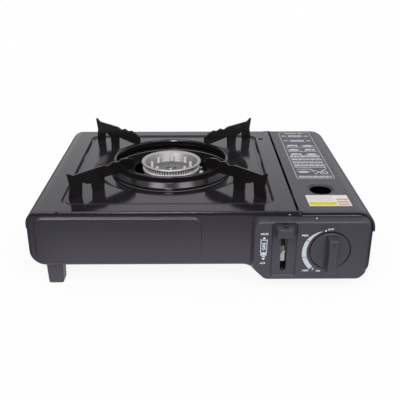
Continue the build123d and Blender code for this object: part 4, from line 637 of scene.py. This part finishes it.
class Print:
    """Flat marks on one face, drawn in millimetres and cut as one thin film."""

    FILM = 0.04 * MM
    LIFT = 0.01 * MM

    def __init__(self, facing: Facing, origin: Vector) -> None:
        """Start an empty drawing.

        Args:
            facing: way the face looks.
            origin: place of the drawing's zero.
        """
        self.place = facing.matrix(origin)
        self.drawing = bmesh.new()

    def area(self, points: Sequence[Point]) -> None:
        """Fill one closed outline."""
        corners = [self.drawing.verts.new((u * MM, v * MM, 0.0)) for u, v in points]
        self.drawing.faces.new(corners)

    def bar(self, low: Point, high: Point) -> None:
        """Fill an upright box between two corners."""
        self.area([low, (high[0], low[1]), high, (low[0], high[1])])

    def ribbon(self, points: Sequence[Point], width: float, closed: bool = False) -> None:
        """Draw a line of even width with mitred corners.

        Args:
            points: the line's points.
            width: its width.
            closed: whether the last point joins the first.
        """
        count = len(points)
        sides: list[tuple[Any, Any]] = []
        for i, (u, v) in enumerate(points):
            before = points[i - 1] if closed or i > 0 else None
            after = points[(i + 1) % count] if closed or i < count - 1 else None
            back = Vector((u - before[0], v - before[1])).normalized() if before else None
            ahead = Vector((after[0] - u, after[1] - v)).normalized() if after else None
            along = ((back or ahead) + (ahead or back)).normalized()
            reach = 0.5 * width / max(0.35, along.dot(ahead or back))
            side = Vector((-along.y, along.x)) * reach
            pair = [(u + side.x, v + side.y), (u - side.x, v - side.y)]
            sides.append(tuple(self.drawing.verts.new((a * MM, b * MM, 0.0)) for a, b in pair))
        for i in range(count if closed else count - 1):
            (left, right), (next_left, next_right) = sides[i], sides[(i + 1) % count]
            self.drawing.faces.new((right, next_right, next_left, left))

    def band(self, inner: Sequence[Point], outer: Sequence[Point]) -> None:
        """Fill the strip between two lines with as many points each."""
        low = [self.drawing.verts.new((u * MM, v * MM, 0.0)) for u, v in inner]
        high = [self.drawing.verts.new((u * MM, v * MM, 0.0)) for u, v in outer]
        for i in range(len(low) - 1):
            self.drawing.faces.new((low[i], low[i + 1], high[i + 1], high[i]))

    def words(self, text: str, size: Point, centre: Point, turn: float = 0.0) -> None:
        """Set plain bold capitals.

        Args:
            text: the letters.
            size: width of the word and height of its capitals.
            centre: middle of the word.
            turn: angle of its baseline in degrees.
        """
        font = bpy.data.curves.new("words", "FONT")
        font.body = text
        font.align_x = "CENTER"
        font.align_y = "CENTER"
        font.size = MM
        font.offset = 0.05 * MM
        font.resolution_u = 3
        holder = bpy.data.objects.new("words", font)
        mesh = bpy.data.meshes.new_from_object(holder)
        corners = [corner.co for corner in mesh.vertices]
        low = Vector((min(c.x for c in corners), min(c.y for c in corners)))
        high = Vector((max(c.x for c in corners), max(c.y for c in corners)))
        fit = (size[0] * MM / (high.x - low.x), size[1] * MM / (high.y - low.y))
        mesh.transform(
            Matrix.Translation((centre[0] * MM, centre[1] * MM, 0.0))
            @ Matrix.Rotation(radians(turn), 4, "Z")
            @ Matrix.Diagonal((fit[0], fit[1], 1.0, 1.0))
            @ Matrix.Translation((-0.5 * (low.x + high.x), -0.5 * (low.y + high.y), 0.0))
        )
        self.drawing.from_mesh(mesh)
        bpy.data.objects.remove(holder)
        bpy.data.curves.remove(font)
        bpy.data.meshes.remove(mesh)

    def piece(self, name: str) -> bpy.types.Object:
        """Cut the marks as a closed film and stand it on its face."""
        bmesh.ops.recalc_face_normals(self.drawing, faces=self.drawing.faces)
        for face in self.drawing.faces:
            if face.normal.z < 0.0:
                face.normal_flip()
        under = list(self.drawing.faces)
        raised = bmesh.ops.extrude_face_region(self.drawing, geom=under, use_keep_orig=True)
        top = [v for v in raised["geom"] if isinstance(v, bmesh.types.BMVert)]
        bmesh.ops.translate(self.drawing, vec=(0.0, 0.0, self.FILM), verts=top)
        bmesh.ops.reverse_faces(self.drawing, faces=under)
        bmesh.ops.transform(
            self.drawing,
            matrix=self.place @ Matrix.Translation((0.0, 0.0, self.LIFT)),
            verts=self.drawing.verts,
        )
        return mesh_object(name, self.drawing)


def linked(name: str, data: bpy.types.ID) -> bpy.types.Object:
    """Put mesh or curve data in the scene as an object."""
    made = bpy.data.objects.new(name, data)
    bpy.context.scene.collection.objects.link(made)
    return made


def mesh_object(name: str, shape: bmesh.types.BMesh) -> bpy.types.Object:
    """Turn a bmesh into a linked object and free it."""
    mesh = bpy.data.meshes.new(name)
    shape.to_mesh(mesh)
    shape.free()
    return linked(name, mesh)


def dress(material: bpy.types.Material, *nodes: str) -> None:
    """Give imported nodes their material."""
    for node in nodes:
        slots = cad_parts[node].data.materials
        slots.clear()
        slots.append(material)
        LOG.info("dressed %s with %s", node, material.name)


def seat(
    piece: bpy.types.Object, material: bpy.types.Material, body: str
) -> bpy.types.Object:
    """Finish a new piece and let it ride on a body.

    Args:
        piece: the new object.
        material: its finish.
        body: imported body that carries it.

    Returns:
        The same piece.
    """
    piece.data.materials.append(material)
    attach(piece, body)
    LOG.info("added %s on %s", piece.name, body)
    return piece


@dataclass
class Casing:
    """Bent base, pressed panels, feet and the fasteners that hold them."""

    painted: tuple[str, ...] = ("base_shell", "front_panel", "rear_panel")
    feet: tuple[str, ...] = ("foot_front_left", "foot_front_right", "foot_rear_left", "foot_rear_right")
    screws: tuple[str, ...] = ("foot_screws", "control_screws", "regulator_screws", "bracket_screws")
    hook_wire: float = 0.4 * MM
    hook_line: tuple[Point, ...] = ((84.9, 79.9), (85.6, 81.6), (86.3, 82.3), (87.0, 81.6), (87.7, 79.9))
    stud_place: Vector = field(default_factory=lambda: Vector((112.3, -120.9, 78.6)) * MM)
    stud_radius: float = 0.95 * MM
    slot_half: float = 20.0 * MM
    slot_end: float = 2.0 * MM
    slot_rows: float = 12.0 * MM
    slot_shorter: float = 5.0 * MM

    def hook(self) -> bpy.types.Object:
        """End of the lid spring, a bent wire that shows on the front lap of the top plate."""
        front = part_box("top_plate")[0].y - self.hook_wire
        line = bpy.data.curves.new("spring_hook", "CURVE")
        line.dimensions = "3D"
        line.bevel_depth = self.hook_wire
        line.bevel_resolution = 3
        line.use_fill_caps = True
        spline = line.splines.new("POLY")
        spline.points.add(len(self.hook_line) - 1)
        for point, (x, z) in zip(spline.points, self.hook_line):
            point.co = (x * MM, front, z * MM, 1.0)
        return linked("spring_hook", line)

    def stud(self) -> bpy.types.Object:
        """Round head of the rivet between the lid's front edge and the control panel."""
        shape = bmesh.new()
        bmesh.ops.create_uvsphere(shape, u_segments=20, v_segments=10, radius=self.stud_radius)
        for face in shape.faces:
            face.smooth = True
        bmesh.ops.translate(shape, vec=self.stud_place, verts=shape.verts)
        return mesh_object("front_stud", shape)

    def rear(self) -> bpy.types.Object:
        """Rear panel with shorter air slots at the cartridge bay."""
        inlet_low, inlet_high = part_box("gas_inlet")
        middle = 0.5 * (inlet_low + inlet_high)
        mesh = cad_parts["rear_panel"].data.copy()
        for corner in mesh.vertices:
            aside = corner.co.x - middle.x
            at_end = abs(abs(aside) - self.slot_half) < self.slot_end
            if at_end and abs(corner.co.z - middle.z) < self.slot_rows:
                corner.co.x -= self.slot_shorter if aside > 0.0 else -self.slot_shorter
        mesh.materials.clear()
        made = linked("rear_panel_dressed", mesh)
        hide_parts("rear_panel")
        return made

    def build(self) -> None:
        """Dress the sheet, the feet and the screws and add the small fasteners."""
        coat, steel = CASING_COAT.material(), BARE_STEEL.material()
        dress(coat, *self.painted, "hinge_pins")
        dress(FOOT_PLASTIC.material(), *self.feet)
        dress(steel, *self.screws)
        seat(self.rear(), coat, "casing")
        seat(self.hook(), steel, "casing")
        seat(self.stud(), steel, "casing")


@dataclass
class DripTray:
    """Enamelled top plate with its one visible screw."""

    plate: str = "top_plate"
    screw: str = "plate_screw"

    def build(self) -> None:
        """Dress the plate in enamel and its screw in casing paint."""
        dress(TRAY_ENAMEL.material(), self.plate)
        dress(CASING_COAT.material(), self.screw)


@dataclass
class PanSupport:
    """Ring and arms of the lift-off pan support, with the weld beads that join them."""

    ring: str = "support_ring"
    arms: tuple[str, ...] = ("support_arm_rr", "support_arm_rl", "support_arm_fl", "support_arm_fr")
    first_angle: float = 45.0
    bead_width: float = 1.7 * MM
    beads_per_side: int = 3
    sheet: float = 2.0 * MM
    rim_in: float = 4.6 * MM

    def welds(self) -> bmesh.types.BMesh:
        """Short rows of weld beads on both sides of each arm, on the rim of the ring."""
        shape = bmesh.new()
        low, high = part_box(self.ring)
        middle = 0.5 * (low + high)
        radius = 0.5 * (high.x - low.x) - self.rim_in
        dice = Random(5)
        for i in range(len(self.arms)):
            angle = radians(self.first_angle + 90.0 * i)
            outward = Vector((cos(angle), sin(angle), 0.0))
            across = Vector((-sin(angle), cos(angle), 0.0))
            for side in (-1.0, 1.0):
                for n in range(self.beads_per_side):
                    centre = outward * (radius - 0.8 * n * self.bead_width)
                    centre += across * side * (0.5 * self.sheet + 0.25 * self.bead_width)
                    centre += Vector((middle.x, middle.y, high.z + 0.1 * self.bead_width))
                    grow = self.bead_width * dice.uniform(0.85, 1.15)
                    bmesh.ops.create_icosphere(
                        shape,
                        subdivisions=2,
                        radius=0.5 * grow,
                        matrix=Matrix.Translation(centre) @ Matrix.Diagonal((1.0, 1.0, 0.8, 1.0)),
                    )
        for face in shape.faces:
            face.smooth = True
        return shape

    def build(self) -> None:
        """Dress the support and add its welds."""
        enamel = SUPPORT_ENAMEL.material()
        dress(enamel, self.ring, *self.arms)
        seat(mesh_object("support_welds", self.welds()), enamel, "pan_support")


@dataclass
class Burner:
    """Burner head, bowl, mixing tube and spark electrode."""

    cast: tuple[str, ...] = ("burner_cap", "burner_base")
    plated: tuple[str, ...] = ("burner_bracket", "mixing_tube")

    def build(self) -> None:
        """Dress the burner and the ignition."""
        dress(BURNER_CAST.material(), *self.cast)
        dress(ZINC_PLATE.material(), *self.plated)
        dress(GLAZED_CERAMIC.material(), "electrode_insulator")
        dress(BARE_STEEL.material(), "electrode_pin")
        dress(IGNITER_PLASTIC.material(), "piezo_igniter")
        dress(LEAD_COVER.material(), "ignition_lead")


@dataclass
class CartridgeBay:
    """Partition, regulator and the lever-driven carriage."""

    plated: tuple[str, ...] = (
        "partition_wall",
        "diaphragm_cover",
        "cartridge_guide",
        "carriage_rails",
        "cartridge_carriage",
    )

    def build(self) -> None:
        """Dress the inside of the bay."""
        dress(ZINC_PLATE.material(), *self.plated)
        dress(CAST_ALUMINIUM.material(), "regulator_body")
        dress(BRASS.material(), "gas_inlet", "gas_jet")
        dress(SEAL_RUBBER.material(), "inlet_seal")
        dress(WHITE_NYLON.material(), "slide_block")
        dress(BARE_STEEL.material(), "valve_shaft", "drive_pin")


@dataclass
class ControlPanel:
    """Moulded control cover with its knob, lever and printed scale.

    The print is drawn in millimetres from the knob axis.
    """

    scale_centre: Point = (0.4, -1.0)
    scale_inner: float = 23.4
    scale_outer: tuple[Point, ...] = ((112.0, 24.0), (152.0, 27.1), (194.0, 28.0), (226.0, 27.5))
    split_gap: float = 1.3
    icon_left: float = -67.9
    icon_right: float = -62.0
    icon_low: float = -1.9
    icon_high: float = 11.4
    line: float = 0.65

    def origin(self) -> Vector:
        """Point where the knob axis meets the face of the panel."""
        knob_low, knob_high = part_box("valve_shaft")
        panel_low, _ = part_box("control_panel")
        return Vector((0.5 * (knob_low.x + knob_high.x), panel_low.y, 0.5 * (knob_low.z + knob_high.z)))

    def stretch(self, start: Point, end: Point) -> tuple[list[Point], list[Point]]:
        """Inner and outer line of one stretch of the scale.

        Args:
            start: first angle and outer radius.
            end: last angle and outer radius.

        Returns:
            As many points on the inner line as on the outer one.
        """
        steps = 14
        inner = arc_points(self.scale_centre, self.scale_inner, start[0], end[0], steps)
        outer: list[Point] = []
        for i in range(steps + 1):
            angle, radius = (a + (b - a) * i / steps for a, b in zip(start, end))
            outer += arc_points(self.scale_centre, radius, angle, angle, 1)[:1]
        return inner, outer

    def scale(self) -> None:
        """Print the scale round the knob in three stretches that widen towards full gas."""
        names = ("scale_low", "scale_middle", "scale_high")
        for i, (name, ink) in enumerate(zip(names, (PALE_INK, COOL_INK, BLUE_INK))):
            (from_angle, from_radius), (to_angle, to_radius) = self.scale_outer[i : i + 2]
            sheet = Print(Facing.FRONT, self.origin())
            sheet.band(*self.stretch((from_angle + self.split_gap, from_radius), (to_angle, to_radius)))
            seat(sheet.piece(name), ink.material(), "casing")

    def cartridge_sign(self, sheet: Print) -> None:
        """Draw the outline of a cartridge with its collar and the two arrows of the lever."""
        middle = 0.5 * (self.icon_left + self.icon_right)
        sheet.ribbon(
            [
                (self.icon_left, self.icon_low),
                (self.icon_right, self.icon_low),
                (self.icon_right, self.icon_high),
                (self.icon_left, self.icon_high),
            ],
            self.line,
            closed=True,
        )
        sheet.words("GAS", (8.6, 3.4), (middle, 0.5 * (self.icon_low + self.icon_high)), 90.0)
        for side in (-1.0, 1.0):
            ear = (middle + 2.6 * side, self.icon_high)
            sheet.ribbon([ear, (middle + 3.3 * side, self.icon_high + 1.5)], self.line)
            sheet.bar((middle + 2.1 * side - 0.8, -5.3), (middle + 2.1 * side + 0.8, -2.6))
        sheet.area([(middle - 1.8, 12.6), (middle + 1.8, 12.6), (middle, 15.2)])
        sheet.bar((middle - 1.0, -5.3), (middle + 1.0, -2.6))
        sheet.bar((middle - 1.5, -6.9), (middle + 1.5, -5.7))
        sheet.area([(middle - 1.8, -8.0), (middle, -10.6), (middle + 1.8, -8.0)])

    def legends(self) -> Print:
        """Words, the off dot, the spark sign and the cartridge sign."""
        sheet = Print(Facing.FRONT, self.origin())
        for text, width, centre in (
            ("OFF", 6.0, (-0.9, 23.0)),
            ("MIN", 6.0, (-25.5, 16.6)),
            ("MAX", 6.2, (-22.5, -22.4)),
            ("ON", 4.6, (-10.1, -22.8)),
            ("UNLOCK", 7.8, (-64.6, 18.3)),
            ("LOCK", 5.4, (-65.4, -13.7)),
        ):
            sheet.words(text, (width, 2.2), centre)
        sheet.area(arc_points((-5.7, 21.6), 1.0, 0.0, 337.5, 15))
        bolt = (-15.5, -20.6)
        spark = ((1.7, 2.6), (-1.2, -0.2), (0.1, -0.2), (-1.5, -2.8), (1.5, 0.5), (0.2, 0.5))
        sheet.area([(bolt[0] + u, bolt[1] + v) for u, v in spark])
        self.cartridge_sign(sheet)
        return sheet

    def build(self) -> None:
        """Dress the controls and print their marks."""
        dress(PANEL_PLASTIC.material(), "control_panel")
        dress(KNOB_PLASTIC.material(), "control_knob", "lock_lever")
        self.scale()
        seat(self.legends().piece("control_legends"), WHITE_INK.material(), "casing")


class Sketch(Enum):
    """Small filled picture, as outlines on a unit square."""

    POT = (
        ((0.08, 0.0), (0.82, 0.0), (0.9, 0.3), (0.0, 0.3)),
        ((-0.16, 0.2), (-0.02, 0.2), (-0.02, 0.28), (-0.16, 0.28)),
        ((0.92, 0.2), (1.06, 0.2), (1.06, 0.28), (0.92, 0.28)),
        ((0.0, 0.34), (0.9, 0.34), (0.55, 0.46), (0.35, 0.46)),
    )
    STOVE = (
        ((0.0, 0.12), (0.66, 0.12), (0.66, 0.46), (0.12, 0.46)),
        ((0.72, 0.12), (1.0, 0.12), (0.92, 0.46), (0.72, 0.46)),
        ((0.08, 0.0), (0.2, 0.0), (0.2, 0.1), (0.08, 0.1)),
        ((0.8, 0.0), (0.92, 0.0), (0.92, 0.1), (0.8, 0.1)),
    )


@dataclass
class Lid:
    """Cartridge lid with its printed field and a plain sticker.

    Marks are drawn in millimetres from the lid's left front corner on its top face.
    """

    field_low: Point = (13.3, 85.2)
    field_high: Point = (54.3, 252.0)
    field_corner: float = 2.0
    title_row: float = 247.4
    small_rows: tuple[float, ...] = (235.6, 215.6)
    large_rows: tuple[float, ...] = (194.2, 178.6, 161.9)
    text_rows: tuple[float, ...] = (155.6, 150.4, 145.2, 139.6, 134.0, 129.0, 124.0, 119.6)
    foot_row: float = 89.6
    sticker_low: Point = (14.0, 12.4)
    sticker_high: Point = (56.3, 39.5)
    band_low: Point = (14.8, 14.6)
    band_high: Point = (42.3, 22.3)
    bar_step: float = 6.0
    bar_height: float = 3.8

    def origin(self) -> Vector:
        """Left front corner of the lid's flat top."""
        low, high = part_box("cartridge_lid")
        return Vector((low.x, low.y, high.z))

    @staticmethod
    def dashes(sheet: Print, left: float, right: float, v: float, height: float, dice: Random) -> None:
        """Fill one row with plain dashes of uneven length."""
        u = left
        while u < right - 1.0:
            dash = min(dice.uniform(2.4, 7.5), right - u)
            sheet.bar((u, v), (u + dash, v + height))
            u += dash + 0.6

    @staticmethod
    def draw(sheet: Print, sketch: Sketch, u: float, v: float, size: float) -> None:
        """Draw a sketch of the given size, standing at a point."""
        for outline in sketch.value:
            sheet.area([(u + a * size, v + b * size) for a, b in outline])

    def printed_field(self) -> Print:
        """Thin frame with small sketches of pots and stoves and plain dashes."""
        sheet = Print(Facing.UP, self.origin())
        dice = Random(11)
        left, right = self.field_low[0] + 2.4, self.field_high[0] - 2.4
        sheet.ribbon(rounded_box(self.field_low, self.field_high, self.field_corner), 0.6, closed=True)
        sheet.bar((left + 6.0, self.title_row), (left + 20.5, self.title_row + 2.2))
        sheet.bar((left + 23.0, self.title_row), (left + 29.0, self.title_row + 2.2))
        for v in self.small_rows:
            self.draw(sheet, Sketch.STOVE, left, v, 6.5)
            self.draw(sheet, Sketch.POT, right - 7.0, v, 6.5)
            for n in range(3):
                self.dashes(sheet, left + 9.0, right - 9.5, v - 2.0 + 2.5 * n, 1.6, dice)
        for i, v in enumerate(self.large_rows):
            near, far = (Sketch.STOVE, Sketch.POT) if i % 2 == 0 else (Sketch.POT, Sketch.STOVE)
            self.draw(sheet, near, left + 1.5, v, 14.0)
            self.draw(sheet, far, right - 15.0, v, 13.5)
            self.dashes(sheet, left, right, v - 3.4, 1.5, dice)
        for i, v in enumerate(self.text_rows):
            self.dashes(sheet, left, right, v, 2.8 if i % 2 == 0 else 1.6, dice)
        row = self.foot_row + 18.0
        sheet.ribbon([(left + 1.0, row + 6.5), (left + 17.0, row + 6.5), (left + 20.0, row - 2.0)], 1.5)
        self.draw(sheet, Sketch.POT, left + 2.0, row - 4.5, 13.0)
        sheet.ribbon([(left + 19.0, row - 9.0), (right - 1.0, row + 8.0)], 1.2)
        sheet.ribbon([(left + 21.0, row + 3.0), (right - 2.0, row - 9.0)], 1.2)
        sheet.ribbon(arc_points((right - 6.0, row - 4.0), 4.2, 0.0, 345.0, 23), 1.2, closed=True)
        for n in range(2):
            self.dashes(sheet, left, right, self.foot_row - 1.2 + 3.0 * n, 1.9, dice)
        return sheet

    def sticker(self) -> None:
        """Plain sticker with grey dashes, a yellow band and even tan bars."""
        base = Print(Facing.UP, self.origin())
        base.area(rounded_box(self.sticker_low, self.sticker_high, 0.8))
        seat(base.piece("lid_sticker"), LABEL_WHITE.material(), "lid")
        over = self.origin() + Vector((0.0, 0.0, Print.FILM))
        dice = Random(3)
        lines = Print(Facing.UP, over)
        for n in range(6):
            self.dashes(lines, self.sticker_low[0] + 2.0, self.band_high[0] - 2.0, 24.8 + 2.3 * n, 0.7, dice)
        seat(lines.piece("sticker_lines"), LABEL_GREY.material(), "lid")
        band = Print(Facing.UP, over)
        band.bar(self.band_low, self.band_high)
        seat(band.piece("sticker_band"), LABEL_YELLOW.material(), "lid")
        patch_left, patch_right = self.band_high[0] + 1.2, self.sticker_high[0] - 1.2
        patches = Print(Facing.UP, over)
        for n in range(3):
            low = self.band_low[1] + self.bar_step * n
            patches.bar((patch_left, low), (patch_right, low + self.bar_height))
        seat(patches.piece("sticker_patches"), LABEL_TAN.material(), "lid")

    def build(self) -> None:
        """Dress the lid and add its print."""
        dress(LID_COAT.material(), "cartridge_lid")
        seat(self.printed_field().piece("lid_print"), LID_INK.material(), "lid")
        self.sticker()


@dataclass(frozen=True)
class Lamp:
    """Far soft lamp, by its angle to the right of the front, its height angle, width and strength."""

    side: float
    high: float
    spread: float
    strength: float

    def hang(self) -> None:
        """Add the lamp to the scene, looking at the stove."""
        side, high = radians(self.side), radians(self.high)
        place = Vector((sin(side) * cos(high), -cos(side) * cos(high), sin(high)))
        lamp = bpy.data.lights.new("lamp", "SUN")
        lamp.angle = radians(self.spread)
        lamp.energy = self.strength
        holder = bpy.data.objects.new("lamp", lamp)
        holder.location = place
        holder.rotation_euler = (-place).to_track_quat("-Z", "Y").to_euler()
        bpy.context.scene.collection.objects.link(holder)


@dataclass
class Studio:
    """Pale floor, soft light and the camera of the photograph."""

    focal_pixels: float = 600.57
    camera_side: float = -0.0047
    camera_back: float = 0.5252
    camera_high: float = 0.3291
    camera_way: Vector = field(default_factory=lambda: Vector((0.0072, 0.9150, -0.4036)))
    floor_half: float = 12.0
    floor_white: float = 0.94
    shadow_share: float = 0.10
    under_edge: float = 0.025
    under_front: float = 0.06
    sky_light: float = 0.42
    mirror_light: float = 0.84
    room_dim: float = 0.9
    right_share: float = 0.4
    table_near: float = 0.05
    table_far: float = 0.14
    table_side: float = 0.08
    table_dim: float = 0.9
    lamps: tuple[Lamp, ...] = (
        Lamp(-30.0, 45.0, 26.0, 1.1),
        Lamp(34.0, 45.0, 26.0, 0.9),
        Lamp(-4.0, 27.0, 12.0, 1.1),
    )

    @staticmethod
    def seen_directly(recipe: Recipe) -> Wire:
        """1 for rays that come from the camera, a mirror or glass."""
        rays = [
            recipe.add("ShaderNodeLightPath", output=name)
            for name in ("Is Camera Ray", "Is Glossy Ray", "Is Transmission Ray")
        ]
        return rays[0].max(rays[1]).max(rays[2])

    def around(self, recipe: Recipe) -> tuple[Wire, Wire, Wire]:
        """Distances of a place on the floor in front of, beside and behind the stove, in metres."""
        across, back = (
            recipe.add("ShaderNodeSeparateXYZ", None, {0: recipe.coords()}, output=axis) for axis in "XY"
        )
        low, high = CAD_BOX
        return low[1] - back, (across - high[0]).max(low[0] - across), back - high[1]

    def table_end(self, recipe: Recipe) -> Wire:
        """0 close to the stove and behind it, 1 where a darker room begins in front and beside it."""
        front, beside, _ = self.around(recipe)
        return front.max(beside + self.table_side).fade(self.table_near, self.table_far)

    def open_floor(self, recipe: Recipe) -> Wire:
        """1 on the open floor, 0 deep under the stove."""
        front, beside, behind = self.around(recipe)
        outward = (front + self.under_front).max(beside).max(behind)
        return outward.fade(-2.0 * self.under_edge, -self.under_edge)

    def floor(self) -> None:
        """Wide pale floor that keeps a soft shadow and fades in mirrors before a darker room."""
        shape = bmesh.new()
        bmesh.ops.create_grid(shape, x_segments=1, y_segments=1, size=self.floor_half)
        ground = mesh_object("floor", shape)
        recipe = new_recipe("pale_floor")
        matt = recipe.add("ShaderNodeBsdfDiffuse", None, {"Color": (self.floor_white,) * 3})
        mirrored = recipe.add("ShaderNodeLightPath", output="Is Glossy Ray")
        far = (1.0 - self.table_dim,) * 3
        tone = recipe.mix(mirrored * self.table_end(recipe), WHITE, far)
        white = recipe.add("ShaderNodeEmission", None, {"Color": tone, "Strength": 1.0})
        share = (1.0 - self.shadow_share) * self.seen_directly(recipe) * self.open_floor(recipe)
        mixed = recipe.add("ShaderNodeMixShader", None, {0: share, 1: matt, 2: white})
        recipe.add("ShaderNodeOutputMaterial", None, {"Surface": mixed})
        ground.data.materials.append(recipe.owner)

    def sky(self) -> None:
        """White surround, dimmer as light than as backdrop, that fades low in mirrors except behind."""
        world = bpy.data.worlds.new("surround")
        bpy.context.scene.world = world
        recipe = Recipe(world)
        way = recipe.add("ShaderNodeTexCoord", output="Generated")
        across, back, height = (
            recipe.add("ShaderNodeSeparateXYZ", None, {0: way}, output=axis) for axis in "XYZ"
        )
        away = (-1.0 * back).max(-1.0 * across).max(self.right_share * across)
        room = 1.0 - self.room_dim * away.fade(0.2, 0.8) * (1.0 - height.fade(0.15, 0.7))
        backdrop = recipe.add("ShaderNodeLightPath", output="Is Camera Ray")
        mirrored = self.seen_directly(recipe)
        level = self.sky_light + mirrored * (self.mirror_light * room - self.sky_light)
        level = level + backdrop * (1.0 - level)
        tone = recipe.mix(level, BLACK, WHITE)
        glow = recipe.add("ShaderNodeBackground", None, {"Color": tone, "Strength": 1.0})
        recipe.add("ShaderNodeOutputWorld", None, {"Surface": glow})

    def camera(self) -> None:
        """Camera at the photograph's place, angle and focal length."""
        lens = bpy.data.cameras.new("camera")
        lens.sensor_width = SENSOR_WIDTH
        lens.lens = self.focal_pixels * SENSOR_WIDTH / PHOTO_PIXELS
        lens.clip_start = 0.01
        lens.clip_end = 100.0
        holder = bpy.data.objects.new("camera", lens)
        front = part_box("top_plate")[0].y
        holder.location = (self.camera_side, front - self.camera_back, self.camera_high)
        holder.rotation_euler = self.camera_way.to_track_quat("-Z", "Y").to_euler()
        bpy.context.scene.collection.objects.link(holder)
        bpy.context.scene.camera = holder

    def build(self) -> None:
        """Set up floor, light, camera and the plain view transform."""
        self.floor()
        self.sky()
        for lamp in self.lamps:
            lamp.hang()
        self.camera()
        bpy.context.scene.view_settings.view_transform = "Standard"


def main() -> None:
    """Build every sub-assembly in order, then the studio."""
    logging.basicConfig(level=logging.INFO, format="%(name)s: %(message)s")
    for group in (Casing, DripTray, PanSupport, Burner, CartridgeBay, ControlPanel, Lid, Studio):
        LOG.info("building %s", group.__name__)
        group().build()


if __name__ == "__main__":
    main()
